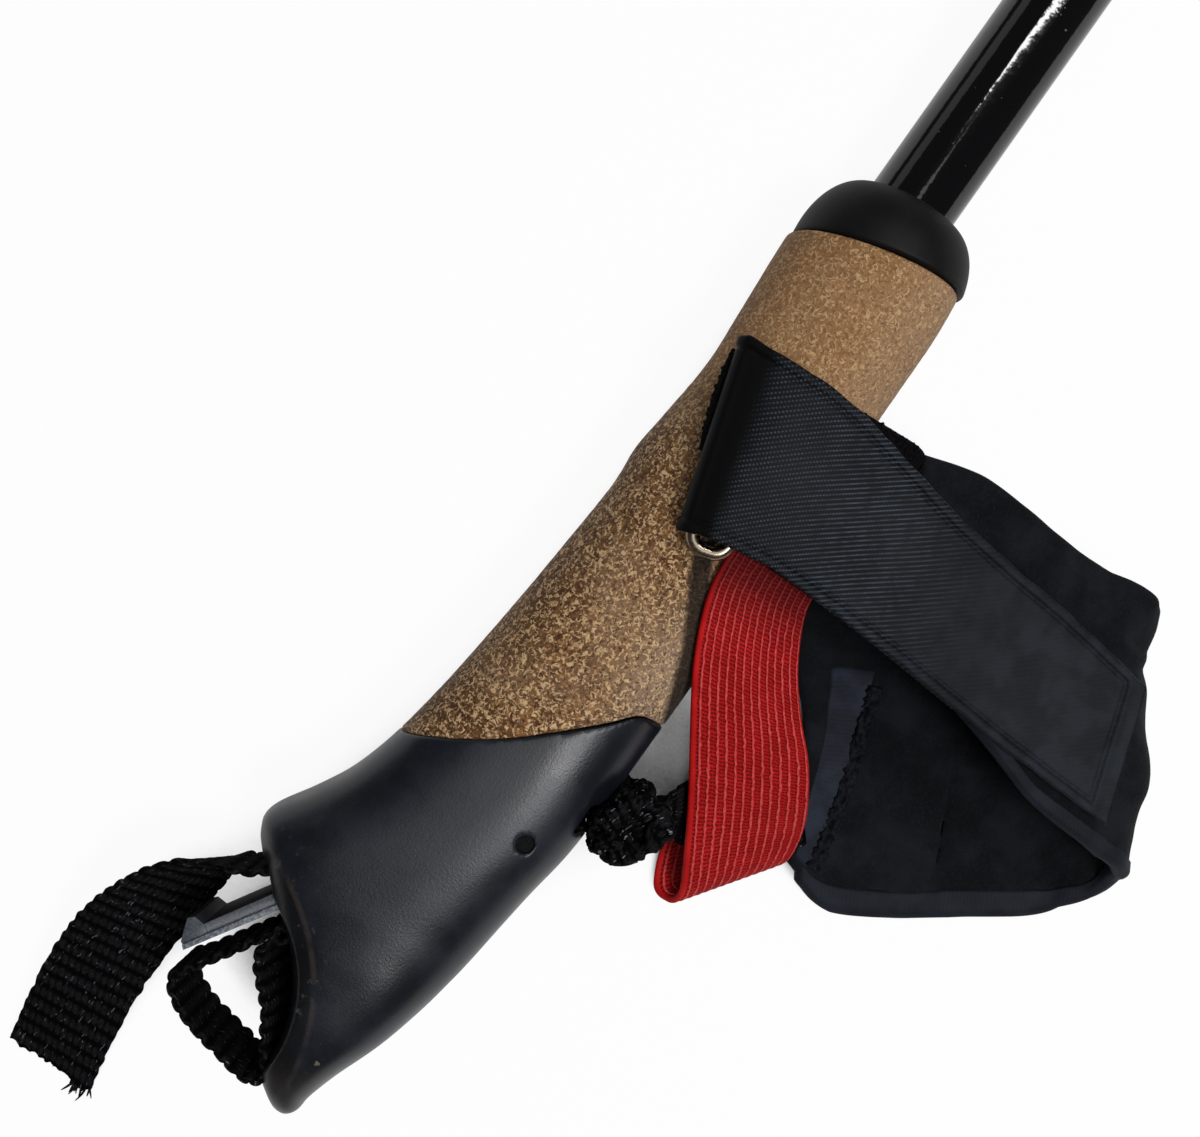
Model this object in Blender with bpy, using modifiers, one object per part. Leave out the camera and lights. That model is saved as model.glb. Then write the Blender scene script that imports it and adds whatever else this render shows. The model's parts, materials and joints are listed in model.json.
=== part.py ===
"""Nordic walking pole with a cork grip and a glove-like wrist strap, lying on its side on the floor.

Units are metres. +X runs along the shaft towards the tip, the strap lies on the -Y side, +Z is up and the
floor is z = 0. The pole's own frame has its origin on the shaft's axis at the collar's tip-side face. The
pole rests on its collar and on the rubber pad's flat side, so its axis drops a little towards the tip.
"""

import math

import bmesh
import bpy
from mathutils import Matrix, Vector

# Fits
GLUE_GAP = 0.0003
SLIDE_GAP = 0.0005
CUT_MARGIN = 0.010
SIDE_REACH = 0.030
SLANT_REACH = 0.060
CORE_REACH = 0.100
MERGE_DISTANCE = 0.00001
AXIS_MARK = 0.02

# Shaft
EXPOSED_LENGTH = 0.930
SHAFT_RADIUS = 0.009
SHAFT_END_RADIUS = 0.005
SHAFT_WALL = 0.0012
SHAFT_STRAIGHT = 0.420
SHAFT_IN_GRIP = 0.115
SHAFT_IN_FERRULE = 0.050

# Grip core and cork
CORE_WALL = 0.0019
CORE_START = 0.008
CORE_END_WALL = 0.005
ROUND_POWER = 2.1
HEAD_POWER = 2.7
SECTION_STEPS = 40

# Each station is the distance behind the collar's face, the reach to the front, to the rear and to each side.
GRIP_STATIONS = (
    (0.006, 0.0164, 0.0176, 0.0168),
    (0.019, 0.0170, 0.0190, 0.0173),
    (0.036, 0.0160, 0.0192, 0.0167),
    (0.049, 0.0153, 0.0194, 0.0163),
    (0.062, 0.0164, 0.0194, 0.0163),
    (0.071, 0.0173, 0.0194, 0.0165),
    (0.080, 0.0168, 0.0194, 0.0165),
    (0.095, 0.0178, 0.0194, 0.0165),
    (0.110, 0.0190, 0.0192, 0.0166),
    (0.129, 0.0210, 0.0190, 0.0168),
    (0.144, 0.0234, 0.0184, 0.0170),
    (0.155, 0.0265, 0.0168, 0.0172),
    (0.163, 0.0305, 0.0158, 0.0173),
    (0.171, 0.0352, 0.0149, 0.0174),
    (0.1748, 0.0346, 0.0144, 0.0174),
    (0.178, 0.0320, 0.0139, 0.0173),
    (0.186, 0.0240, 0.0124, 0.0170),
    (0.196, 0.0180, 0.0098, 0.0162),
    (0.206, 0.0138, 0.0061, 0.0142),
    (0.2130, 0.0080, 0.0041, 0.0112),
    (0.2163, 0.0042, 0.0038, 0.0088),
    (0.2182, 0.0016, 0.0026, 0.0060),
)
CORK_LAST = 0.155
HEAD_FIRST = 0.095
JOINT_LENGTH = 0.045

# Joint line between cork and head, seen from the side: a straight slant that turns square at the rear.
JOINT_FRONT = Vector((-0.1436, 0.0234))
JOINT_MIDDLE = Vector((-0.1322, 0.0062))
JOINT_BEND = Vector((-0.1193, -0.0080))
JOINT_CORNER = Vector((-0.1138, -0.0135))
JOINT_REAR = Vector((-0.1131, -0.0190))

# Collar: a dome whose tip-side end is tilted a little, on a joint that slants more
COLLAR_RADIUS = 0.0181
COLLAR_NOSE_RADIUS = 0.0100
COLLAR_FACE = 0.0012
COLLAR_JOINT = 0.0145
COLLAR_TILT = math.radians(5.5)
COLLAR_SLANT = math.radians(13)
COLLAR_TOP_WALL = 0.0075
COLLAR_STEPS = 8

# Head: the end is hollowed by a round dish, from the front lip to the rear tip
DISH_RADIUS = 0.0349
DISH_CENTRE = Vector((-0.2123, 0.0392))
PIN_PLACE = Vector((-0.1461, -0.0094))
PIN_RADIUS = 0.0020
PIN_HALF_LENGTH = 0.0138

# Webbing and the wedge that locks it
WEBBING_WIDTH = 0.020
WEBBING_THICKNESS = 0.0017
CHANNEL_WIDTH = WEBBING_WIDTH + 0.001
WEDGE_WIDTH = WEBBING_WIDTH - 0.001
WEDGE_MOUTH = Vector((-0.1855, 0.0225))
WEDGE_ANGLE = math.radians(-31.8)
WEDGE_OUTSIDE = 0.021
WEDGE_INSIDE = 0.013
WEDGE_TRAVEL = 0.019
WEDGE_END_ROOM = 0.0015
WEDGE_OUTER_THICKNESS = 0.0044
WEDGE_INNER_THICKNESS = 0.0030
WEDGE_HOOK_HEIGHT = 0.0030
WEDGE_HOOK_LENGTH = 0.0030
WEDGE_HOOK_LEAN = 0.0006
CHANNEL_BEHIND_WEDGE = 0.0082
CHANNEL_MOUTH_FRONT = 0.0100
CHANNEL_INNER_FRONT = 0.0050
CHANNEL_BEFORE_PIN = Vector((0.0085, 0.0035))
CHANNEL_BEHIND_PIN = Vector((-0.0030, -0.0030))
STRAND_BEHIND = 0.0068
STRAND_UNDER = 0.0040
STRAND_SPLIT = 0.0030
STRAND_TURN = 0.0025 - WEDGE_OUTSIDE
TAIL_INSIDE = ((0.010, 0.0048), (-0.001, 0.0072))

# The webbing's loop outside the dish, seen from the side
LOOP_COURSE = (
    (-0.2030, 0.0147),
    (-0.2088, 0.0108),
    (-0.2133, 0.0074),
    (-0.2153, 0.0084),
    (-0.2151, 0.0115),
    (-0.2139, 0.0165),
    (-0.2124, 0.0225),
    (-0.2096, 0.0290),
    (-0.2069, 0.0314),
)

# The free tail outside the slot: a place, its height above the axis and its lean in degrees from lying flat
TAIL_COURSE = (
    (-0.1850, 0.0358, 0.0, 84),
    (-0.1895, 0.0413, -0.001, 76),
    (-0.1980, 0.0452, -0.003, 60),
    (-0.2105, 0.0462, -0.0070, 30),
    (-0.2235, 0.0462, -0.0110, 12),
    (-0.2360, 0.0452, -0.0145, 5),
    (-0.2466, 0.0437, -0.0175, 1),
)
TAIL_SKEW = -0.05

# Strap. Heights are above the shaft's axis at the collar.
PORT_PLACE = Vector((-0.1348, -0.0236))
PORT_ROLL_RADIUS = 0.0054
PORT_WALL_SET_BACK = 0.0100
PORT_MOUTH_DEPTH = 0.0030
PIN_WRAP = (22, 70)
LEAD_COURSE = (
    (-0.1290, -0.0306, -0.0031, 62),
    (-0.1240, -0.0366, -0.0081, 30),
    (-0.1182, -0.0428, -0.0107, 8),
    (-0.1136, -0.0480, -0.0109, 0),
    (-0.1096, -0.0522, -0.0101, 0),
)
LEAD_ACROSS = Vector((0.76, 0.65))

CUFF_CENTRE = Vector((-0.075, -0.075))
CUFF_ANGLE = math.radians(27)
CUFF_THICKNESS = 0.0030
CUFF_BETWEEN = 3
BINDING_FIRST_ROW = CUFF_BETWEEN + 1
WRIST_BINDING_ROWS = 7
BINDING_WIDTH = 0.0030
BINDING_GAP = 0.0005
BINDING_THICKNESS = 0.0038

# Each row is the distance away from the grip at the thumb end and at the wrist end, the height, and the thumb
# end and the wrist end along the cuff's tube.
CUFF_ROWS = (
    (-0.0357, -0.0357, -0.0129, -0.0325, 0.0370),
    (-0.0285, -0.0290, -0.0151, -0.0395, 0.0490),
    (-0.0150, -0.0150, -0.0160, -0.0404, 0.0478),
    (0.0040, 0.0040, -0.0160, -0.0375, 0.0405),
    (0.0200, 0.0175, -0.0157, -0.0345, 0.0345),
    (0.0300, 0.0245, -0.0133, -0.0300, 0.0310),
    (0.0326, 0.0272, -0.0081, -0.0272, 0.0285),
    (0.0312, 0.0262, -0.0026, -0.0262, 0.0262),
    (0.0262, 0.0225, 0.0019, -0.0240, 0.0222),
    (0.0175, 0.0150, 0.0049, -0.0205, 0.0190),
    (0.0060, 0.0060, 0.0068, -0.0140, 0.0225),
    (-0.0040, -0.0040, 0.0080, -0.0050, 0.0270),
    (-0.0130, -0.0130, 0.0076, 0.0030, 0.0300),
)

# The closing band's two edges, from the ring to its free end
BAND_THICKNESS = 0.0012
BAND_TOP_EDGE = (
    (-0.0435, 0.0020, 0.0252),
    (-0.0432, -0.0105, 0.0241),
    (-0.0452, -0.0248, 0.0209),
    (-0.0478, -0.0390, 0.0181),
    (-0.0494, -0.0560, 0.0149),
    (-0.0504, -0.0710, 0.0125),
    (-0.0509, -0.0856, 0.0105),
)
BAND_BOTTOM_EDGE = (
    (-0.0784, -0.0065, 0.0248),
    (-0.0768, -0.0170, 0.0235),
    (-0.0766, -0.0300, 0.0203),
    (-0.0770, -0.0450, 0.0173),
    (-0.0780, -0.0620, 0.0141),
    (-0.0788, -0.0790, 0.0117),
    (-0.0793, -0.0960, 0.0097),
)
FOLD_FROM = -0.0165
FOLD_TO = 0.0215
FOLD_DEGREES = (215, 190, 160, 130, 100)
HOOK_TAPE_THICKNESS = 0.0010
HOOK_TAPE_ROWS = slice(4, 7)
HOOK_TAPE_INSET = 0.10
LOOP_TAPE_THICKNESS = 0.0008
LOOP_TAPE_INSET = 0.06
BAND_UNDER_DROP = Vector((0, 0, 0.0040))
BAND_UNDER_ROWS = slice(1, 5)
BAND_UNDER_OUTREACH = (0.0015, 0.0038, 0.0012, 0)

RING_CENTRE = Vector((-0.0630, 0.0002, 0.0207))
RING_ANGLE = math.radians(17)
RING_WIRE_RADIUS = 0.0014
RING_HALF_LENGTH = 0.0188
RING_HALF_WIDTH = 0.0036
RING_CORNER = 0.0030

# The tab comes down from the ring beside the grip, and ends at the cuff's edge.
TAB_FROM = -0.0110
TAB_TO = 0.0145
TAB_DEGREES = (85, 130, 180, 230, 262)
TAB_COURSE = (
    (-0.0717, -0.0137, -0.0465, -0.0062, 0.0176),
    (-0.0722, -0.0190, -0.0470, -0.0140, 0.0141),
    (-0.0726, -0.0235, -0.0478, -0.0208, 0.0081),
    (-0.0732, -0.0262, -0.0488, -0.0222, -0.0001),
    (-0.0742, -0.0290, -0.0500, -0.0220, -0.0081),
)
TAB_END = (0.0184, 0.0440, -0.0131)

# The elastic's two edges: down from the band over the lead, round its fold on the floor and back beneath
ELASTIC_THICKNESS = 0.0015
ELASTIC_COURSE = (
    (-0.0731, -0.0100, 0.0175, -0.0724, -0.0270, 0.0152),
    (-0.0825, -0.0105, 0.0166, -0.0790, -0.0285, 0.0131),
    (-0.0904, -0.0128, 0.0153, -0.0870, -0.0345, 0.0104),
    (-0.0999, -0.0170, 0.0121, -0.0950, -0.0405, 0.0073),
    (-0.1108, -0.0235, 0.0069, -0.1025, -0.0465, 0.0039),
    (-0.1200, -0.0300, 0.0019, -0.1095, -0.0520, -0.0001),
    (-0.1310, -0.0372, -0.0041, -0.1150, -0.0553, -0.0051),
    (-0.1400, -0.0425, -0.0095, -0.1205, -0.0568, -0.0091),
    (-0.1432, -0.0434, -0.0135, -0.1236, -0.0560, -0.0126),
    (-0.1405, -0.0405, -0.0161, -0.1212, -0.0552, -0.0153),
    (-0.1300, -0.0350, -0.0166, -0.1140, -0.0535, -0.0163),
    (-0.1170, -0.0315, -0.0166, -0.1060, -0.0525, -0.0163),
    (-0.1060, -0.0270, -0.0166, -0.0965, -0.0475, -0.0163),
)

# Tip
FERRULE_LENGTH = 0.070
FERRULE_WALL = 0.0018
FERRULE_END_RADIUS = 0.0055
FERRULE_STOP_RADIUS = 0.0085
FERRULE_STOP_LENGTH = 0.003
CARBIDE_RADIUS = 0.0022
CARBIDE_LENGTH = 0.020
CARBIDE_CHAMFER = 0.0010
CARBIDE_OUTSIDE = 0.008
PAD_HALF_WIDTH = 0.0145
PAD_SOCKET_DEPTH = 0.030
PAD_SOCKET_WALL = 0.0045
PAD_SOLE_THICKNESS = 0.009
PAD_TOE = 0.022
PAD_HEEL = 0.027
PAD_BLOCK_HEIGHT = 0.019
PAD_FLAT = 0.010
PAD_HEEL_RISE = 0.0055
PAD_TOE_RISE = 0.0030
PAD_CORNER = 0.0030
PAD_EDGE = 0.0016
WASHER_RADIUS = 0.0062
WASHER_THICKNESS = 0.0016

# Derived sizes
CORE_BORE = SHAFT_RADIUS + GLUE_GAP
CORE_RADIUS = CORE_BORE + CORE_WALL
CORK_BORE = CORE_RADIUS + GLUE_GAP
CORE_END = SHAFT_IN_GRIP + GLUE_GAP + CORE_END_WALL
FERRULE_BORE = SHAFT_END_RADIUS + GLUE_GAP
CARBIDE_TIP_X = EXPOSED_LENGTH - PAD_SOLE_THICKNESS - WASHER_THICKNESS - 2 * SLIDE_GAP
FERRULE_END_X = CARBIDE_TIP_X - CARBIDE_OUTSIDE
FERRULE_START_X = FERRULE_END_X - FERRULE_LENGTH
SHAFT_END_X = FERRULE_START_X + SHAFT_IN_FERRULE
TAIL_END = -TAIL_COURSE[-1][0]
CUFF_REACH = 0.119
TAIL_SIDE = 0.055
AXIS_DROP = math.asin((COLLAR_RADIUS - PAD_HALF_WIDTH) / EXPOSED_LENGTH)
GRIP_X = (TAIL_END - EXPOSED_LENGTH) / 2
GRIP_Y = (CUFF_REACH - TAIL_SIDE) / 2
PORT_ROLL_REACH = PORT_ROLL_RADIUS + WEBBING_THICKNESS / 2 + SLIDE_GAP
TURN_DEPTH = WEDGE_INSIDE + WEDGE_TRAVEL + WEDGE_END_ROOM
UP = Vector((0, 0, 1))


def clear_scene():
    for obj in list(bpy.data.objects):
        bpy.data.objects.remove(obj, do_unlink=True)


def collection(name):
    found = bpy.data.collections.new(name)
    bpy.context.scene.collection.children.link(found)
    return found


def put_under(obj, frame):
    """Parents to a frame. Below a joint's frame, places stay those of the pole's or the strap's frame."""
    obj.parent = frame
    if frame.parent:
        obj.matrix_parent_inverse = frame.matrix_basis.inverted()


def empty(name, place, turn=(0, 0, 0), frame=None):
    found = bpy.data.objects.new(name, None)
    found.location = place
    found.rotation_euler = turn
    found.empty_display_size = AXIS_MARK
    if frame:
        put_under(found, frame)
    PARTS.objects.link(found)
    return found


def material(name, colour, roughness, metallic=0.0):
    made = bpy.data.materials.new(name)
    made.use_nodes = True
    made.diffuse_color = (*colour, 1)
    shader = made.node_tree.nodes["Principled BSDF"]
    shader.inputs["Base Color"].default_value = (*colour, 1)
    shader.inputs["Roughness"].default_value = roughness
    shader.inputs["Metallic"].default_value = metallic
    return made


def add_mesh(name, mesh, look, parent, smooth_angle=35):
    obj = bpy.data.objects.new(name, mesh)
    put_under(obj, parent)
    PARTS.objects.link(obj)
    if look:
        mesh.materials.append(look)
    mesh.shade_smooth()
    mesh.set_sharp_from_angle(angle=math.radians(smooth_angle))
    return obj


def as_cutter(obj):
    PARTS.objects.unlink(obj)
    CUTTERS.objects.link(obj)
    obj.hide_render = True
    obj.display_type = "WIRE"
    return obj


def cut(obj, cutter, operation="DIFFERENCE"):
    change = obj.modifiers.new(f"{operation.lower()} {cutter.name}", "BOOLEAN")
    change.operation = operation
    change.object = cutter


def turned(name, profile, look, parent, steps=40, place=0.0):
    """A shape turned about the pole's axis. Each point is a radius and a distance towards the tip."""
    mesh = bpy.data.meshes.new(name)
    points = [(radius, 0, along) for radius, along in profile]
    edges = [(i, i + 1) for i in range(len(points) - 1)]
    if profile[0][0] > 0:
        edges.append((len(points) - 1, 0))
    mesh.from_pydata(points, edges, [])
    obj = add_mesh(name, mesh, look, parent)
    screw = obj.modifiers.new("turn", "SCREW")
    screw.steps = steps
    screw.render_steps = steps
    screw.use_merge_vertices = True
    screw.merge_threshold = MERGE_DISTANCE
    obj.location = (place, 0, 0)
    obj.rotation_euler = (0, math.pi / 2, 0)
    return obj


def rod(name, radius, half_length, place, look, parent, axis="Z", sides=32):
    mesh = bpy.data.meshes.new(name)
    shape = bmesh.new()
    bmesh.ops.create_cone(
        shape,
        cap_ends=True,
        segments=sides,
        radius1=radius,
        radius2=radius,
        depth=2 * half_length,
    )
    shape.to_mesh(mesh)
    shape.free()
    obj = add_mesh(name, mesh, look, parent)
    obj.location = place
    if axis == "X":
        obj.rotation_euler = (0, math.pi / 2, 0)
    return obj


def plate(name, outline, half_thickness, look, parent, bevel=0.0):
    """A flat outline in the XY plane, filled and given its thickness along Z, as a mesh."""
    curve = bpy.data.curves.new(name, "CURVE")
    curve.dimensions = "2D"
    curve.fill_mode = "BOTH"
    curve.extrude = half_thickness
    spline = curve.splines.new("POLY")
    spline.points.add(len(outline) - 1)
    for point, (x, y) in zip(spline.points, outline):
        point.co = (x, y, 0, 1)
    spline.use_cyclic_u = True
    drawn = bpy.data.objects.new(name + "_outline", curve)
    bpy.context.scene.collection.objects.link(drawn)
    graph = bpy.context.evaluated_depsgraph_get()
    mesh = bpy.data.meshes.new_from_object(drawn.evaluated_get(graph))
    bpy.data.objects.remove(drawn)
    bpy.data.curves.remove(curve)
    shape = bmesh.new()
    shape.from_mesh(mesh)
    bmesh.ops.remove_doubles(shape, verts=shape.verts, dist=MERGE_DISTANCE)
    shape.to_mesh(mesh)
    shape.free()
    mesh.name = name
    mesh.materials.clear()
    obj = add_mesh(name, mesh, look, parent)
    if bevel:
        edge = obj.modifiers.new("rounded edges", "BEVEL")
        edge.width = bevel
        edge.segments = 2
        edge.limit_method = "ANGLE"
        edge.angle_limit = math.radians(50)
    return obj


def loft(name, rings, look, parent):
    """A closed body through rings of equally many points."""
    count = len(rings[0])
    points = [point for ring in rings for point in ring]
    faces = []
    for row in range(len(rings) - 1):
        for i in range(count):
            after = (i + 1) % count
            base = row * count
            faces.append((base + i, base + after, base + count + after, base + count + i))
    last = len(points) - count
    faces.append(tuple(reversed(range(count))))
    faces.append(tuple(range(last, last + count)))
    mesh = bpy.data.meshes.new(name)
    mesh.from_pydata(points, [], faces)
    return add_mesh(name, mesh, look, parent)


def smoothed(rows, between):
    """Rows of vectors with further rows on a smooth curve between them."""
    found = []
    for i in range(len(rows) - 1):
        before = rows[max(i - 1, 0)]
        after = rows[min(i + 2, len(rows) - 1)]
        for step in range(between):
            t = step / between
            row = []
            for p, a, b, q in zip(before, rows[i], rows[i + 1], after):
                row.append(
                    a
                    + (b - p) * (t / 2)
                    + (2 * p - 5 * a + 4 * b - q) * (t * t / 2)
                    + (3 * a - p - 3 * b + q) * (t**3 / 2)
                )
            found.append(row)
    found.append(list(rows[-1]))
    return found


def cloth(name, rows, thickness, look, parent, between=3, across=1):
    """A strip of cloth through rows of two edge points each, with its thickness about their middle."""
    rows = [[Vector(a), Vector(b)] for a, b in rows]
    if between > 1:
        rows = smoothed(rows, between)
    points = []
    for a, b in rows:
        points.extend(a.lerp(b, i / across) for i in range(across + 1))
    wide = across + 1
    faces = []
    for row in range(len(rows) - 1):
        for i in range(across):
            base = row * wide + i
            faces.append((base, base + 1, base + wide + 1, base + wide))
    mesh = bpy.data.meshes.new(name)
    mesh.from_pydata(points, [], faces)
    obj = add_mesh(name, mesh, look, parent)
    solid = obj.modifiers.new("thickness", "SOLIDIFY")
    solid.thickness = thickness
    solid.offset = 0
    solid.use_even_offset = True
    return obj


def on_edge(places, width, height=0.0):
    """Rows for webbing that stands on its edge along places in the XY plane."""
    up = UP * (width / 2)
    return [(Vector((x, y, height)) - up, Vector((x, y, height)) + up) for x, y in places]


def arc(centre, radius, start, end, count):
    """Points on a circle, from one angle to another, in degrees."""
    found = []
    for i in range(count):
        angle = math.radians(start + (end - start) * i / (count - 1))
        found.append(centre + Vector((math.cos(angle), math.sin(angle))) * radius)
    return found


def grip_rings(first, last):
    """Sections of the grip between two distances behind the collar's face."""
    rings = []
    for behind, front, rear, side in GRIP_STATIONS:
        if not first <= behind <= last:
            continue
        middle = (front - rear) / 2
        reach = (front + rear) / 2
        squared = min(max((behind - HEAD_FIRST) / JOINT_LENGTH, 0), 1)
        power = ROUND_POWER + (HEAD_POWER - ROUND_POWER) * squared
        ring = []
        for i in range(SECTION_STEPS):
            angle = 2 * math.pi * i / SECTION_STEPS
            c = math.cos(angle)
            s = math.sin(angle)
            y = middle + reach * math.copysign(abs(c) ** (2 / power), c)
            z = side * math.copysign(abs(s) ** (2 / power), s)
            ring.append((-behind, y, z))
        rings.append(ring)
    return rings


def joint_outline(towards_tip, gap):
    """The outline of the space on one side of the cork's slanted joint with the head."""
    slant = (JOINT_FRONT - JOINT_MIDDLE).normalized()
    top = JOINT_FRONT + slant * CUT_MARGIN * 2
    rear = Vector((JOINT_REAR.x, JOINT_REAR.y - CUT_MARGIN))
    turns = [[JOINT_FRONT], [JOINT_MIDDLE], [JOINT_BEND], [JOINT_CORNER], [JOINT_REAR]]
    curve = [row[0] for row in smoothed(turns, 3)]
    line = [point + Vector((gap, 0)) for point in [top, *curve, rear]]
    far = CUT_MARGIN * (8 if towards_tip else -8)
    return line + [Vector((rear.x + far, rear.y)), Vector((rear.x + far, top.y))]


def wedge_point(depth, rise):
    """A point in the pole's XY plane, from its depth into the slot and its rise above the wedge's middle."""
    along = Vector((math.cos(WEDGE_ANGLE), math.sin(WEDGE_ANGLE)))
    above = Vector((-along.y, along.x))
    return WEDGE_MOUTH + along * depth + above * rise


def make_shaft():
    outer = [
        (SHAFT_END_RADIUS, SHAFT_END_X),
        (SHAFT_END_RADIUS, FERRULE_START_X - SHAFT_WALL),
        (SHAFT_RADIUS, SHAFT_STRAIGHT),
        (SHAFT_RADIUS, -SHAFT_IN_GRIP),
    ]
    inner = [(radius - SHAFT_WALL, along) for radius, along in reversed(outer)]
    return turned("shaft", outer + inner, LOOKS["lacquer"], POLE)


def make_grip_core():
    profile = [
        (CORE_BORE, -CORE_START),
        (CORE_RADIUS, -CORE_START),
        (CORE_RADIUS, -CORE_END),
        (0, -CORE_END),
    ]
    inside = (0, -SHAFT_IN_GRIP - GLUE_GAP)
    wall = (CORE_BORE, -SHAFT_IN_GRIP - GLUE_GAP)
    return turned("grip_core", [inside, wall, *profile], LOOKS["plastic"], POLE)


def slant_cutter(name, towards_tip, gap):
    """A block whose slanted side is the joint between collar and cork."""
    half = COLLAR_RADIUS + CUT_MARGIN
    lean = half * math.tan(COLLAR_SLANT)
    far = SLANT_REACH if towards_tip else -SLANT_REACH
    middle = -COLLAR_JOINT + gap
    outline = [
        (middle - lean, half),
        (middle + lean, -half),
        (middle + far, -half),
        (middle + far, half),
    ]
    return as_cutter(plate(name, outline, half, None, POLE))


def make_collar():
    """A dome, a quarter of an ellipse in section, bored for the shaft and the core."""
    below = -COLLAR_JOINT - CUT_MARGIN
    dome = COLLAR_JOINT - COLLAR_FACE
    profile = [(0, -COLLAR_FACE)]
    for i in range(COLLAR_STEPS + 1):
        angle = math.pi / 2 * i / COLLAR_STEPS
        radius = COLLAR_NOSE_RADIUS + (COLLAR_RADIUS - COLLAR_NOSE_RADIUS) * math.sin(angle)
        profile.append((radius, -COLLAR_JOINT + dome * math.cos(angle)))
    profile += [(COLLAR_RADIUS, below), (0, below)]
    collar = turned("grip_collar", profile, LOOKS["plastic"], POLE, steps=48)
    collar.rotation_euler.z = COLLAR_TILT
    cut(collar, slant_cutter("collar_underside", False, 0))
    reach = COLLAR_JOINT + 2 * CUT_MARGIN
    hole = rod("shaft_bore", SHAFT_RADIUS + GLUE_GAP, reach, (0, 0, 0), None, POLE, axis="X", sides=40)
    cut(collar, as_cutter(hole))
    inside = (-COLLAR_TOP_WALL - reach, 0, 0)
    seat = rod("core_seat", CORK_BORE, reach, inside, None, POLE, axis="X", sides=40)
    cut(collar, as_cutter(seat))
    return collar


def make_cork():
    cork = loft("cork_grip", grip_rings(0, CORK_LAST), LOOKS["cork"], POLE)
    cut(cork, slant_cutter("cork_top", True, -GLUE_GAP))
    middle = (-CORE_REACH, 0, 0)
    bore = rod("cork_bore", CORK_BORE, CORE_REACH, middle, None, POLE, axis="X", sides=40)
    cut(cork, as_cutter(bore))
    below = plate("cork_underside", joint_outline(False, 0), SIDE_REACH, None, POLE)
    cut(cork, as_cutter(below))
    return cork


def channel_outline():
    """The strap's channel through the head, seen from the side, from the end slot to the rear port."""
    deep = TURN_DEPTH + 2 * WEDGE_END_ROOM
    roll = PORT_ROLL_REACH
    return [
        wedge_point(-CUT_MARGIN, CHANNEL_MOUTH_FRONT),
        wedge_point(0, CHANNEL_MOUTH_FRONT),
        wedge_point(deep, CHANNEL_INNER_FRONT),
        PIN_PLACE + CHANNEL_BEFORE_PIN,
        PORT_PLACE + Vector((roll, PORT_MOUTH_DEPTH)),
        PORT_PLACE + Vector((roll, -CUT_MARGIN)),
        PORT_PLACE + Vector((-roll, -CUT_MARGIN)),
        PORT_PLACE + Vector((-roll, PORT_WALL_SET_BACK / 2)),
        PORT_PLACE + Vector((-roll - 2 * SLIDE_GAP, PORT_WALL_SET_BACK)),
        PIN_PLACE + CHANNEL_BEHIND_PIN,
        wedge_point(deep - WEDGE_END_ROOM, -CHANNEL_BEHIND_WEDGE),
        wedge_point(-2 * CUT_MARGIN, -CHANNEL_BEHIND_WEDGE),
    ]


def make_head():
    head = loft("head_shell", grip_rings(HEAD_FIRST, 1), LOOKS["plastic"], POLE)
    above = plate("head_top", joint_outline(True, -GLUE_GAP), SIDE_REACH, None, POLE)
    cut(head, as_cutter(above))
    dish = rod("head_dish", DISH_RADIUS, SIDE_REACH, (*DISH_CENTRE, 0), None, POLE, sides=96)
    cut(head, as_cutter(dish))
    pocket_half = (CORE_END + GLUE_GAP) / 2
    middle = (-pocket_half, 0, 0)
    pocket = rod("core_pocket", CORK_BORE, pocket_half, middle, None, POLE, axis="X", sides=40)
    cut(head, as_cutter(pocket))
    channel = plate("strap_channel", channel_outline(), CHANNEL_WIDTH / 2, None, POLE)
    cut(head, as_cutter(channel))
    hole = rod("pin_hole", PIN_RADIUS + GLUE_GAP / 2, SIDE_REACH, (*PIN_PLACE, 0), None, POLE, sides=24)
    cut(head, as_cutter(hole))
    return head


def make_wedge():
    """The tapered plate that locks the webbing, with a hook at its outer end to pull it by."""
    outer = WEDGE_OUTER_THICKNESS / 2
    inner = WEDGE_INNER_THICKNESS / 2
    outline = [
        (-WEDGE_OUTSIDE, -outer),
        (WEDGE_INSIDE - inner, -inner),
        (WEDGE_INSIDE, 0),
        (WEDGE_INSIDE - inner, inner),
        (-WEDGE_OUTSIDE + WEDGE_HOOK_LENGTH, outer),
        (-WEDGE_OUTSIDE + WEDGE_HOOK_LENGTH - WEDGE_HOOK_LEAN, outer + WEDGE_HOOK_HEIGHT),
        (-WEDGE_OUTSIDE - WEDGE_HOOK_LEAN, outer + WEDGE_HOOK_HEIGHT),
    ]
    wedge = plate("strap_wedge", outline, WEDGE_WIDTH / 2, LOOKS["grey_plastic"], WEDGE_AXIS)
    wedge.location = (*WEDGE_MOUTH, 0)
    wedge.rotation_euler = (0, 0, WEDGE_ANGLE)
    return wedge


def leaning(course, across):
    """Rows for webbing along a course of places, heights and leans, where a lean of 90 degrees is on edge."""
    rows = []
    for x, y, z, lean in course:
        rise = math.radians(lean)
        side = Vector((*(across * math.cos(rise)), math.sin(rise))).normalized() * (WEBBING_WIDTH / 2)
        middle = Vector((x, y, z))
        rows.append((middle - side, middle + side))
    return rows


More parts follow.
